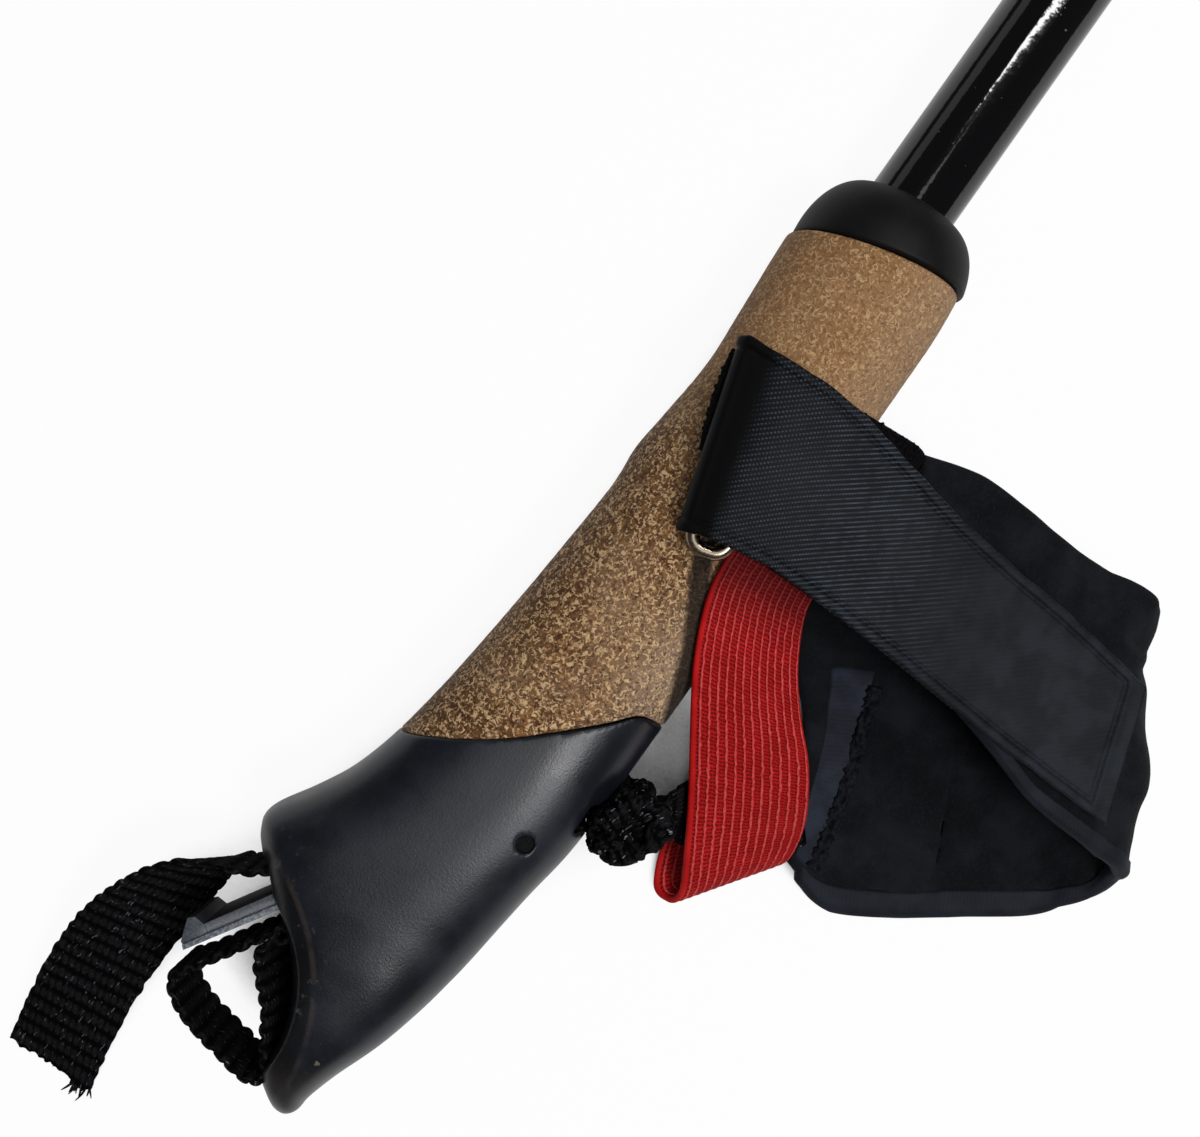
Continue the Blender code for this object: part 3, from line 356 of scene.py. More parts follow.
def linear(code):
    """An sRGB hex colour as the linear colour that a shader takes."""
    parts = [int(code[i : i + 2], 16) / 255 for i in (1, 3, 5)]
    return (*(c / 12.92 if c <= 0.04045 else ((c + 0.055) / 1.055) ** 2.4 for c in parts), 1)


def fill(tree, socket, value):
    """Gives a socket a number, a vector, an sRGB hex colour or another node's output."""
    if isinstance(value, bpy.types.NodeSocket):
        tree.links.new(value, socket)
    else:
        socket.default_value = linear(value) if isinstance(value, str) else value


def add_node(tree, kind, *inputs, out=None, **settings):
    """Adds a node with its settings and fills its open inputs in their order.

    kind may hold the node's operation too. The first open output is given, or the one that out names.
    """
    kind, *operation = kind.split()
    node = tree.nodes.new("ShaderNode" + kind)
    if operation:
        node.operation = operation[0]
    for key, value in settings.items():
        setattr(node, key, value)
    for socket, value in zip([socket for socket in node.inputs if socket.enabled], inputs):
        fill(tree, socket, value)
    return node.outputs[out] if out else next(socket for socket in node.outputs if socket.enabled)


# Settings for a map range that eases from one value to another, and for a mix of colours
EASED = {"interpolation_type": "SMOOTHSTEP"}
COLOURS = {"data_type": "RGBA"}
BUMP_FILTER = 0.1


def start(name, colour, roughness, **sockets):
    """A material whose shader has these values all over, and the function that adds nodes to it."""
    made = bpy.data.materials.new(name)
    made.use_nodes = True
    sockets = {"Base_Color": colour, "Roughness": roughness, **sockets}
    return made, functools.partial(add_node, dress(made, sockets))


def dress(made, sockets):
    """Fills the shader's sockets and gives the material's tree."""
    tree = made.node_tree
    for key, value in sockets.items():
        fill(tree, tree.nodes["Principled BSDF"].inputs[key.replace("_", " ")], value)
    return tree


def finish(made, height, depth, **sockets):
    """Links the shader's patterns, and bumps the surface by a height of 0 to 1 times a depth in metres."""
    bump = add_node(made.node_tree, "Bump", 1.0, depth, BUMP_FILTER, height)
    dress(made, {**sockets, "Normal": bump})
    return made


def threads(add):
    """The place on a woven strip: how far along it, how far across it, and the weave's height there."""
    found = add("Attribute", out="Vector", attribute_name="threads")
    return list(add("SeparateXYZ", found).node.outputs)


def shaft_lacquer():
    """Clear gloss lacquer over a dark composite tube: deep black, sharp highlights, a few specks of dust."""
    made, add = start("gloss_lacquer_on_composite_tube", "#040406", 0.07, IOR=1.52)
    where = add("TexCoord", out="Object")
    specks = add("TexNoise", where, 1 / (0.9 * MM), 1.0, 0.55)
    dust = add("MapRange", specks, 0.76, 0.80, **EASED)
    colour = add("Mix", dust, "#040406", "#4c4c4e", **COLOURS)
    peel = add("TexNoise", where, 1 / (2.2 * MM), 2.0, 0.55)
    return finish(
        made, peel, 0.03 * MM, Base_Color=colour, Roughness=add("MapRange", dust, 0, 1, 0.07, 0.6, **EASED)
    )


def cork():
    """Granulated cork, pressed and sanded: brown granules of 1 to 2 mm with pale curled edges."""
    made, add = start(
        "sanded_granulated_cork", "#93704c", 0.70, IOR=1.45, Specular_IOR_Level=0.22, Sheen_Weight=0.05,
        Sheen_Roughness=0.35,
    )
    where = add("TexCoord", out="Object")
    wander = add("TexNoise", where, 1 / (1.4 * MM), 2.0, out="Color")
    nudge = add("VectorMath MULTIPLY_ADD", wander, (1.3 * MM,) * 3, where)
    granules = add("TexNoise", nudge, 1 / (1.3 * MM), 3.0, 0.65)
    broad = add("TexNoise", where, 1 / (24 * MM), 3.0, 0.55)
    patches = add("TexNoise", where, 1 / (5 * MM), 3.0, 0.55)
    colour = add("Mix", add("MapRange", granules, 0.38, 0.62, **EASED), "#4f3018", "#8a6138", **COLOURS)
    colour = add(
        "Mix", add("MapRange", patches, 0.40, 0.62, 0.35, 0.0, **EASED), colour, "#4c2e15", **COLOURS
    )
    colour = add("Mix", add("MapRange", broad, 0.36, 0.66, 0.0, 0.45, **EASED), colour, "#a08265", **COLOURS)
    towards_front = add("SeparateXYZ", where, out="Y")
    towards_front = add("Math SUBTRACT", towards_front, GRIP_PLACE[1])
    # Painted shade: the cork's front side, away from the window, is made darker.
    painted_shade_front_side = add("MapRange", towards_front, 4 * MM, 16 * MM, 0.0, 0.40, **EASED)
    colour = add("Mix", painted_shade_front_side, colour, "#3a2314", **COLOURS)
    # Painted sheen: the cork's rear side, towards the window, is made paler and greyer.
    rub_and_painted_sheen = add("MapRange", towards_front, -16 * MM, -3 * MM, 0.35, 0.0, **EASED)
    colour = add("Mix", rub_and_painted_sheen, colour, "#a5968a", **COLOURS)
    apart = add("VectorMath ADD", nudge, (7 * MM, 3 * MM, 5 * MM))
    curls = curled_flakes(add, nudge, 1.9 * MM, 0.34 * MM)
    for size, wide in ((1.3 * MM, 0.28 * MM), (0.9 * MM, 0.24 * MM)):
        curls = add("Math MAXIMUM", curls, curled_flakes(add, apart, size, wide))
    curls = add(
        "Math MULTIPLY", curls,
        add("MapRange", add("TexNoise", where, 1 / (0.9 * MM), 3.0, 0.55), 0.36, 0.54, 0.3, 1.0, **EASED),
    )
    others = add("MapRange", add("TexNoise", where, 1 / (0.7 * MM), 2.0, 0.6), 0.54, 0.64, **EASED)
    colour = add("Mix", add("Math MULTIPLY", others, 0.65), colour, "#38200d", **COLOURS)
    flakes = add(
        "MapRange", add("TexNoise", nudge, 1 / (0.55 * MM), 2.0, 0.6), 0.58, 0.66, 0.0, 0.65, **EASED
    )
    colour = add("Mix", flakes, colour, "#c39d70", **COLOURS)
    colour = add("Mix", add("Math MULTIPLY", curls, 0.82), colour, "#dcb98c", **COLOURS)
    pits = add("MapRange", add("TexNoise", where, 1 / (0.8 * MM), 2.0, 0.55), 0.66, 0.73, **EASED)
    colour = add("Mix", add("Math MULTIPLY", pits, 0.8), colour, "#2b190a", **COLOURS)
    from_collar = add("SeparateXYZ", where, out="X")
    worn = add("MapRange", from_collar, -0.412, -0.385, 0.0, 0.45, **EASED)
    colour = add("Mix", worn, colour, "#a67c51", **COLOURS)
    flat = add("VectorMath MULTIPLY", where, (1, 1, 0))
    # Painted shadow: a dark band beside the thumb loop's edge, where the strap shades the cork.
    painted_strap_shadow = 0.0
    for ends in zip(STRAP_SHADOW_LINE, STRAP_SHADOW_LINE[1:]):
        beside = add("MapRange", near_line(add, flat, *ends), 1.3 * MM, 3.0 * MM, 0.92, 0.0, **EASED)
        painted_strap_shadow = add("Math MAXIMUM", painted_strap_shadow, beside)
    colour = add("Mix", painted_strap_shadow, colour, "#140b07", **COLOURS)
    grain = add("TexNoise", where, 1 / (0.5 * MM), 3.0, 0.55)
    height = add("Math SUBTRACT", add("Math ADD", curls, grain), add("Math ADD", pits, others))
    return finish(made, height, 0.10 * MM, Base_Color=colour)


def curled_flakes(add, where, size, wide):
    """Part of a ring round each random point, as a cut granule shows its curled edge."""
    cells = add("TexVoronoi", where, 1 / size).node.outputs
    off = add("VectorMath SUBTRACT", where, cells["Position"])
    way = add("VectorMath SUBTRACT", cells["Color"], (0.5, 0.5, 0.5))
    facing = add("VectorMath DOT_PRODUCT", off, way)
    reach = add("VectorMath LENGTH", off)
    ring = add("Math ABSOLUTE", add("Math SUBTRACT", reach, 0.36 * size))
    edge = add("MapRange", ring, 0.3 * wide, 0.6 * wide, 1.0, 0.0, **EASED)
    return add("Math MULTIPLY", edge, add("MapRange", facing, 0.0, 0.05 * size, **EASED))


def near_line(add, where, first, last):
    """How far a point is from the straight line between two points."""
    first, last = np.array(first), np.array(last)
    off = add("VectorMath SUBTRACT", where, tuple(first))
    way = (last - first) / ((last - first) @ (last - first))
    share = add("Clamp", add("VectorMath DOT_PRODUCT", off, tuple(way)))
    along = add("VectorMath SCALE", tuple(last - first), share)
    return add("VectorMath DISTANCE", off, along)


def moulded_nylon():
    """Glass-filled nylon from a spark-eroded mould: near black, satin, and scuffed pale round the dish."""
    made, add = start("moulded_black_nylon", "#171a21", 0.36, IOR=1.53, Specular_IOR_Level=0.36)
    where = add("TexCoord", out="Object")
    smudge = add("TexNoise", where, 1 / (13 * MM), 4.0, 0.6)
    colour = add("Mix", add("MapRange", smudge, 0.35, 0.7, **EASED), "#10131a", "#1d212a", **COLOURS)
    dish_at = (*(GRIP_XY + DISH_CENTRE), GRIP_PLACE[2])
    from_dish = add("VectorMath SUBTRACT", where, dish_at)
    flat = add("VectorMath MULTIPLY", from_dish, (1, 1, 0))
    reach = add("VectorMath LENGTH", flat)
    rim = add("MapRange", reach, DISH_RIM_RADIUS, DISH_RIM_RADIUS + 9 * MM, 1.0, 0.0, **EASED)
    # Painted shade: the dish's hollow is made near black.
    inside = add("MapRange", reach, DISH_RIM_RADIUS - 1.2 * MM, DISH_RIM_RADIUS + 0.2 * MM, 1.0, 0.0, **EASED)
    colour = add("Mix", add("Math MULTIPLY", inside, 0.8), colour, "#060607", **COLOURS)
    marks = add("MapRange", add("TexNoise", where, 1 / (2.4 * MM), 4.0, 0.65), 0.60, 0.74, **EASED)
    marks = add("Math MULTIPLY", add("Math MULTIPLY", marks, rim), 0.45)
    colour = add("Mix", marks, colour, "#54565a", **COLOURS)
    # A pale rub along the dish's rim, which is wear.
    near_rim = add("Math ABSOLUTE", add("Math SUBTRACT", reach, DISH_RIM_RADIUS))
    rub_and_painted_sheen = add("MapRange", near_rim, 0.2 * MM, 0.8 * MM, 0.5, 0.0, **EASED)
    rub_and_painted_sheen = add(
        "Math MULTIPLY", rub_and_painted_sheen,
        add("MapRange", add("TexNoise", where, 1 / (5 * MM), 2.0, 0.55), 0.35, 0.60, **EASED),
    )
    colour = add("Mix", rub_and_painted_sheen, colour, "#403530", **COLOURS)
    tip_at = (GRIP_PLACE[0] - 0.2155, GRIP_PLACE[1] - 0.0030, GRIP_PLACE[2])
    tip = add("VectorMath DISTANCE", where, tip_at)
    colour = add(
        "Mix", add("MapRange", tip, 12 * MM, 21 * MM, 0.6, 0.0, **EASED), colour, "#2d2926", **COLOURS
    )
    chip_at = (-0.5447, 0.0309, GRIP_PLACE[2] + 0.0148)
    chip = add("VectorMath DISTANCE", where, chip_at)
    ragged = add(
        "Math ADD", chip, add("Math MULTIPLY", add("TexNoise", where, 1 / (0.9 * MM), 3.0, 0.55), 1.8 * MM)
    )
    colour = add(
        "Mix", add("MapRange", ragged, 1.2 * MM, 1.6 * MM, 0.8, 0.0, **EASED), colour, "#6f6758", **COLOURS
    )
    spark = add("TexNoise", where, 1 / (0.5 * MM), 3.0, 0.6)
    return finish(
        made, spark, 0.035 * MM, Base_Color=colour,
        Roughness=add("MapRange", smudge, 0.3, 0.7, 0.30, 0.39, **EASED),
    )


def wedge_nylon():
    """Grey nylon with a coarse sparkle from its mould, scraped paler on its lower rib, and near black on its
    rear flank.
    """
    made, add = start("moulded_grey_nylon", "#4a4e56", 0.45, IOR=1.53)
    where = add("TexCoord", out="Object")
    sparkle = add("TexNoise", where, 1 / (0.55 * MM), 3.0, 0.75)
    rising = np.array((-math.sin(WEDGE_ANGLE), math.cos(WEDGE_ANGLE), 0))
    mouth = np.array((*(GRIP_XY + WEDGE_MOUTH), 0)) @ rising
    level = add("VectorMath DOT_PRODUCT", where, tuple(rising))
    scraped = add(
        "MapRange", level, mouth + GROOVE_RISE - 0.1 * MM, mouth + GROOVE_RISE + 0.1 * MM, 1.0, 0.0, **EASED
    )
    dull = add("Mix", add("MapRange", sparkle, 0.35, 0.7, **EASED), "#33373e", "#50555e", **COLOURS)
    pale = add("Mix", add("MapRange", sparkle, 0.38, 0.68, **EASED), "#4d525a", "#8f969e", **COLOURS)
    colour = add("Mix", scraped, dull, pale, **COLOURS)
    # The rear flank, facing the rising side, is made near black and rougher.
    facing = add("NewGeometry", out="True Normal")
    facing = add("VectorMath DOT_PRODUCT", facing, tuple(rising))
    rear = add("MapRange", facing, 0.3, 0.6, **EASED)
    colour = add("Mix", rear, colour, "#050506", **COLOURS)
    return finish(
        made, sparkle, 0.06 * MM, Base_Color=colour,
        Roughness=add("MapRange", rear, 0, 1, 0.45, 0.75, **EASED),
    )


def webbing_polyester(name="woven_black_polyester", frayed=0.35):
    """Black polyester webbing, woven from thick spun yarn: dull, with short pale fibres standing out."""
    made, add = start(name, "#0a0a0b", 0.95, IOR=1.5, Specular_IOR_Level=0.06)
    x, y, raised = threads(add)
    along = add("Math DIVIDE", x, 0.8 * MM)
    across = add("Math DIVIDE", y, 0.22 * MM)
    hair = add("TexNoise", add("CombineXYZ", along, across), 1.0, 3.0)
    yarn = add("Mix", add("MapRange", hair, 0.35, 0.75, **EASED), "#0b0b0c", "#242427", **COLOURS)
    # Painted shade: the weave's low places are made near black.
    colour = add("Mix", add("MapRange", raised, 0.30, 0.90, **EASED), "#020203", yarn, **COLOURS)
    bent = add(
        "Math MULTIPLY", add("TexNoise", add("TexCoord", out="Object"), 1 / (2.5 * MM), 3.0, 0.55), 3.0
    )
    along = add("Math ADD", add("Math DIVIDE", x, 1.5 * MM), bent)
    across = add("Math ADD", add("Math DIVIDE", y, 0.5 * MM), bent)
    cells = add("TexVoronoi", add("CombineXYZ", along, across), 1.0).node.outputs
    chosen = add("SeparateColor", cells["Color"])
    fibre = add(
        "Math MULTIPLY", add("MapRange", cells["Distance"], 0.20, 0.34, 1.0, 0.0, **EASED),
        add("MapRange", chosen, 0.62, 0.95, **EASED),
    )
    colour = add("Mix", add("Math MULTIPLY", fibre, frayed), colour, "#8a8a90", **COLOURS)
    return finish(made, add("Math ADD", hair, fibre), 0.16 * MM, Base_Color=colour)


def band_twill():
    """Black twill tape: slanting ribs 0.8 mm apart, pressed smooth and faintly blotched further out."""
    made, add = start("woven_black_twill", "#0d1014", 0.60, IOR=1.5, Specular_IOR_Level=0.12)
    x, y, _ = threads(add)
    slant = math.radians(38)
    along = add(
        "Math ADD", add("Math MULTIPLY", x, math.cos(slant)), add("Math MULTIPLY", y, math.sin(slant))
    )
    to_flat = add("Math MAXIMUM", add("Math SUBTRACT", 36 * MM, x), 0.0)
    fanned = add("Math MULTIPLY", add("Math MULTIPLY", to_flat, to_flat), 2.17)
    drop = add("Math ADD", add("Math MULTIPLY", x, math.tan(slant)), fanned)
    over = add("Math MULTIPLY", add("Math SUBTRACT", y, drop), math.cos(slant))
    rib_at = add("Math DIVIDE", over, 0.80 * MM)
    rib = add("MapRange", add("Math COSINE", add("Math MULTIPLY", rib_at, math.tau)), -0.1, 1.0, **EASED)
    odd = add("Math MULTIPLY", add("Math FLOOR", add("Math ADD", rib_at, 0.5)), 0.38)
    float_at = add("Math ADD", add("Math DIVIDE", along, 0.71 * MM), odd)
    floats = add("MapRange", add("Math COSINE", add("Math MULTIPLY", float_at, math.tau)), -1, 1, **EASED)
    dotted = add("MapRange", x, 18 * MM, 36 * MM, 0.97, 0.30, **EASED)
    woven = add("Math MULTIPLY", rib, add("Mix", dotted, 1.0, floats))
    curl = add("MapRange", x, 8.0 * MM, 12.3 * MM, **EASED)
    pressed = add("MapRange", x, 36 * MM, 70 * MM, 0.85, 0.04, **EASED)
    patchy = add(
        "MapRange", add("TexNoise", add("TexCoord", out="Object"), 1 / (2.2 * MM), 2.0, 0.55), 0.3, 0.7, 0.35,
        1.0, **EASED,
    )
    depth = add("Math MULTIPLY", add("Math MULTIPLY", woven, curl), pressed)
    depth = add("Math MULTIPLY", depth, patchy)
    blotch = add("TexNoise", add("TexCoord", out="Object"), 1 / (12 * MM), 3.0, 0.55)
    ground = add("Mix", add("MapRange", blotch, 0.35, 0.7, **EASED), "#06080b", "#0f1216", **COLOURS)
    # Painted shade: the band's curl round the ring is made near black.
    ground = add("Mix", curl, "#020203", ground, **COLOURS)
    creased = add("TexNoise", add("TexCoord", out="Object"), 1 / (6 * MM), 2.0, 0.55)
    far = add("Mix", add("MapRange", creased, 0.38, 0.64, **EASED), "#111419", "#1c2027", **COLOURS)
    ground = add("Mix", add("MapRange", x, 45 * MM, 85 * MM, **EASED), ground, far, **COLOURS)
    # Painted highlight: the raised yarns are made paler, standing for their sheen.
    colour = add("Mix", depth, ground, "#4a5260", **COLOURS)
    return finish(made, depth, 0.09 * MM, Base_Color=colour)


def padded_cloth():
    """Brushed knit bonded to foam: soft and dull, with a slight bluish bloom."""
    made, add = start(
        "brushed_knit_on_foam", "#121316", 0.90, IOR=1.45, Specular_IOR_Level=0.10, Sheen_Weight=0.03,
        Sheen_Roughness=0.45,
    )
    where = add("TexCoord", out="Object")
    nap = add("TexNoise", where, 1 / (0.6 * MM), 4.0, 0.7)
    worn = add("TexNoise", where, 1 / (9 * MM), 4.0, 0.55)
    colour = add("Mix", add("MapRange", worn, 0.35, 0.7, **EASED), "#0e0f12", "#191b1f", **COLOURS)
    colour = add("Mix", add("MapRange", nap, 0.45, 0.8, 0, 0.5, **EASED), colour, "#24262c", **COLOURS)
    return finish(made, nap, 0.10 * MM, Base_Color=colour)


def edge_ribbon(name, dark, light):
    """Soft edge ribbon of fine knit, a little bluer and smoother than the cloth."""
    made, add = start(name, dark, 0.70, IOR=1.5, Specular_IOR_Level=0.16)
    x, _, _ = threads(add)
    ribs = add("Math SINE", add("Math MULTIPLY", x, math.tau / (0.8 * MM)))
    worn = add("TexNoise", add("TexCoord", out="Object"), 1 / (7 * MM), 3.0, 0.55)
    base = add("Mix", add("MapRange", worn, 0.35, 0.7, **EASED), dark, light, **COLOURS)
    colour = add("Mix", add("MapRange", ribs, -1, 1, 0.0, 0.06, **EASED), base, "#3a404e", **COLOURS)
    return finish(
        made, add("TexNoise", add("TexCoord", out="Object"), 1 / (0.7 * MM), 3.0, 0.55), 0.06 * MM,
        Base_Color=colour,
    )


def overcast_seam():
    """Overcast seam of fuzzy black yarn, lumpy where it gathers the cloth."""
    made, add = start("overcast_seam_yarn", "#0c0c0f", 0.90, IOR=1.5, Specular_IOR_Level=0.10)
    lumps = add("TexNoise", add("TexCoord", out="Object"), 1 / (1.1 * MM), 4.0, 0.7)
    colour = add("Mix", add("MapRange", lumps, 0.35, 0.7, **EASED), "#08080b", "#1f2127", **COLOURS)
    return finish(made, lumps, 0.3 * MM, Base_Color=colour)


def loop_pile():
    """Napped loop tape: a black, tangled pile that swallows light."""
    made, add = start("napped_loop_tape", "#08080a", 0.95, IOR=1.45, Specular_IOR_Level=0.08)
    where = add("TexCoord", out="Object")
    tangle = add("TexNoise", where, 1 / (0.6 * MM), 4.0, 0.75)
    colour = add("Mix", add("MapRange", tangle, 0.35, 0.75, **EASED), "#030304", "#151518", **COLOURS)
    return finish(made, tangle, 0.3 * MM, Base_Color=colour)


def hook_nylon():
    """Hook tape: stiff black nylon hooks in rows."""
    made, add = start("black_hook_tape", "#151517", 0.55, IOR=1.5)
    where = add("TexCoord", out="Object")
    hooks = add("TexVoronoi", where, 1 / (1.0 * MM))
    colour = add("Mix", add("MapRange", hooks, 0.1, 0.6, **EASED), "#303034", "#0b0b0c", **COLOURS)
    return finish(made, hooks, 0.2 * MM, Base_Color=colour)


def red_elastic():
    """Woven red elastic: pale cords along it, and between them two columns of dark gaps in the weft."""
    made, add = start("woven_red_elastic", "#a01517", 0.65, IOR=1.5, Specular_IOR_Level=0.10)
    x, y, _ = threads(add)
    where = add("TexCoord", out="Object")
    stray = add("Math SUBTRACT", add("TexNoise", where, 1 / (1.4 * MM), 2.0, 0.55), 0.5)
    across = add("Math ADD", y, add("Math MULTIPLY", stray, 0.6 * MM))
    across = add("Math SUBTRACT", across, ELASTIC_FIRST_CORD)
    cord_at = add("Math DIVIDE", across, ELASTIC_CORD_GAP)
    part = add("Math SUBTRACT", add("Math FRACT", add("Math ADD", cord_at, 0.5)), 0.5)
    from_cord = add("Math ABSOLUTE", part)
    cords = add("MapRange", from_cord, 0.08, 0.18, 1.0, 0.0, **EASED)
    columns = add(
        "MapRange", add("Math ABSOLUTE", add("Math SUBTRACT", from_cord, 0.32)), 0.10, 0.18, 1.0, 0.0, **EASED
    )
    nudged = add("Math ADD", x, add("Math MULTIPLY", stray, 0.9 * MM))
    picks = add("Math COSINE", add("Math MULTIPLY", nudged, math.tau / (0.80 * MM)))
    bars = add("MapRange", picks, -0.55, 0.45, **EASED)
    inside = add(
        "Math MULTIPLY",
        add("MapRange", y, ELASTIC_FIRST_CORD - 0.7 * MM, ELASTIC_FIRST_CORD - 0.5 * MM, **EASED),
        add("MapRange", y, ELASTIC_LAST_CORD, ELASTIC_LAST_CORD + 0.3 * MM, 1.0, 0.0, **EASED),
    )
    gaps = add("Math MULTIPLY", add("Math MULTIPLY", columns, bars), inside)
    blotch = add("TexNoise", where, 1 / (5 * MM), 3.0, 0.55)
    ground = add("Mix", add("MapRange", blotch, 0.35, 0.75, **EASED), "#a81112", "#bd1b1b", **COLOURS)
    colour = add("Mix", add("Math MULTIPLY", gaps, 0.88), ground, "#730407", **COLOURS)
    cords = add("Math MULTIPLY", cords, inside)
    broken = add(
        "MapRange", add("TexNoise", where, 1 / (0.6 * MM), 2.0, 0.55), 0.35, 0.62, 0.35, 1.0, **EASED
    )
    colour = add("Mix", add("Math MULTIPLY", cords, broken), colour, "#cf504e", **COLOURS)
    shaded = add("MapRange", x, 4 * MM, 19 * MM, 0.70, 0.0, **EASED)
    colour = add("Mix", shaded, colour, "#2c0305", **COLOURS)
    turned_under = add("MapRange", x, ELASTIC_TURN, ELASTIC_TURN + 4 * MM, **EASED)
    colour = add("Mix", add("Math MULTIPLY", turned_under, 0.75), colour, "#3c0709", **COLOURS)
    height = add("Math SUBTRACT", cords, gaps)
    return finish(made, height, 0.14 * MM, Base_Color=colour)


def worked_metal(name, colour, mark_size, marks_low, marks_high, roughness, **sockets):
    """Metal with fine marks of its making, which change its roughness and hardly its shape."""
    made, add = start(name, colour, roughness, **sockets)
    marks = add("TexNoise", add("TexCoord", out="Object"), 1 / mark_size, 3.0, 0.55)
    return finish(
        made, marks, 0.01 * MM, Roughness=add("MapRange", marks, 0.3, 0.7, marks_low, marks_high, **EASED)
    )


def collar_plastic():
    """Soft-touch black plastic of the collar: matt, with broad weak highlights."""
    made, add = start("soft_touch_black_plastic", "#0c0c0d", 0.55, IOR=1.5, Specular_IOR_Level=0.16)
    where = add("TexCoord", out="Object")
    smudge = add("TexNoise", where, 1 / (9 * MM), 4.0, 0.6)
    colour = add("Mix", add("MapRange", smudge, 0.35, 0.7, **EASED), "#0a0a0b", "#131315", **COLOURS)
    return finish(made, add("TexNoise", where, 1 / (0.45 * MM), 3.0, 0.6), 0.03 * MM, Base_Color=colour)


def rubber():
    """Moulded black rubber, scuffed grey by the road."""
    made, add = start("moulded_black_rubber", "#1d1d1e", 0.78, IOR=1.5)
    where = add("TexCoord", out="Object")
    scuff = add("TexNoise", where, 1 / (4 * MM), 5.0, 0.7)
    colour = add("Mix", add("MapRange", scuff, 0.45, 0.75, **EASED), "#18181a", "#3a3937", **COLOURS)
    grit = add("TexNoise", where, 1 / (0.4 * MM), 3.0, 0.55)
    return finish(made, grit, 0.04 * MM, Base_Color=colour)


LACQUER = shaft_lacquer()
CORK = cork()
NYLON = moulded_nylon()
WEDGE_NYLON = wedge_nylon()
WEBBING = webbing_polyester()
FRAYED_WEBBING = webbing_polyester("frayed_black_polyester", 0.9)
TWILL = band_twill()
CLOTH = padded_cloth()
RIBBON = edge_ribbon("knitted_edge_ribbon", "#0f1219", "#191d26")
# The side ribbon is a paler copy of the same ribbon: painted light where it lies open on the cuff.
SIDE_RIBBON = edge_ribbon("knitted_side_ribbon", "#151922", "#242a37")
SEAM = overcast_seam()
PILE = loop_pile()
HOOKS = hook_nylon()
ELASTIC = red_elastic()
# Nickel on bent steel wire, dulled by handling
NICKEL = worked_metal("nickel_plated_wire", "#8f8171", 0.8 * MM, 0.18, 0.34, 0.24, Metallic=1.0)
# Turned steel with fine tool marks
STEEL = worked_metal("turned_steel", "#a6a6a6", 0.4 * MM, 0.26, 0.45, 0.34, Metallic=1.0)
COLLAR_PLASTIC = collar_plastic()
# A steel roll pin made near black and dull: painted shade for the deep hole that it sits in
DARK_PIN_STEEL = worked_metal(
    "near_black_pin_steel", "#020203", 0.5 * MM, 0.5, 0.7, 0.6, Specular_IOR_Level=0.10
)
# Ground tungsten carbide: dark grey, with grinding marks
HARD_METAL = worked_metal("ground_hard_metal", "#6f7073", 0.3 * MM, 0.3, 0.5, 0.38, Metallic=1.0)
RUBBER = rubber()


# Mesh work

def moved(points, place_in):
    """Points of the pole's or the strap's frame, in the row frame."""
    points = np.asarray(points, float).reshape(-1, 3)
    turn = np.array(place_in.to_3x3())
    return points @ turn.T + np.array(place_in.translation)


def piece(name, points, faces, look, body, stands_for=(), strip_places=None):
    """A finished mesh piece, drawn in its body's frame. It rides on that body and stands for CAD nodes."""
    points = moved(points, POLE if body == "pole" else STRAP)
    mesh = bpy.data.meshes.new(name)
    mesh.from_pydata(points.tolist(), [], [list(map(int, face)) for face in faces])
    if strip_places is not None:
        stored = mesh.attributes.new("threads", "FLOAT_VECTOR", "POINT")
        stored.data.foreach_set("vector", np.asarray(strip_places, np.float32).ravel())
    mesh.materials.append(look)
    obj = bpy.data.objects.new(name, mesh)
    bpy.context.scene.collection.objects.link(obj)
    face_outwards(mesh)
    mesh.shade_smooth()
    finish_piece(obj, body, stands_for)
    return obj


def face_outwards(mesh):
    shape = bmesh.new()
    shape.from_mesh(mesh)
    bmesh.ops.recalc_face_normals(shape, faces=shape.faces)
    shape.to_mesh(mesh)
    shape.free()


def finish_piece(obj, body, stands_for=()):
    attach(obj, body)
    if stands_for:
        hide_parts(*stands_for)


def apply_modifiers(obj):
    graph = bpy.context.evaluated_depsgraph_get()
    mesh = bpy.data.meshes.new_from_object(obj.evaluated_get(graph))
    obj.modifiers.clear()
    obj.data = mesh
    return obj


def smooth_rows(rows, between):
    """Rows of points with further rows on a smooth curve between them."""
    rows = np.asarray(rows, float)
    found = []
    for i in range(len(rows) - 1):
        before, a, b = rows[max(i - 1, 0)], rows[i], rows[i + 1]
        after = rows[min(i + 2, len(rows) - 1)]
        for step in range(between):
            t = step / between
            found.append(
                a
                + (b - before) * (t / 2)
                + (2 * before - 5 * a + 4 * b - after) * (t * t / 2)
                + (3 * a - before - 3 * b + after) * (t**3 / 2)
            )
    found.append(rows[-1])
    return np.array(found)


def even_rows(rows, step):
    """The same strip with its rows evenly spaced along its middle. Also gives their distances along it."""
    rows = smooth_rows(rows, 24)
    middle = rows.mean(axis=1)
    run = np.concatenate([[0], np.cumsum(np.linalg.norm(np.diff(middle, axis=0), axis=1))])
    count = max(int(round(run[-1] / step)), 2)
    at = np.linspace(0, run[-1], count + 1)
    found = np.empty((len(at), rows.shape[1], 3))
    for k in range(rows.shape[1]):
        for axis in range(3):
            found[:, k, axis] = np.interp(at, run, rows[:, k, axis])
    return found, at


def unit(vectors):
    return vectors / np.maximum(np.linalg.norm(vectors, axis=-1, keepdims=True), 1e-12)


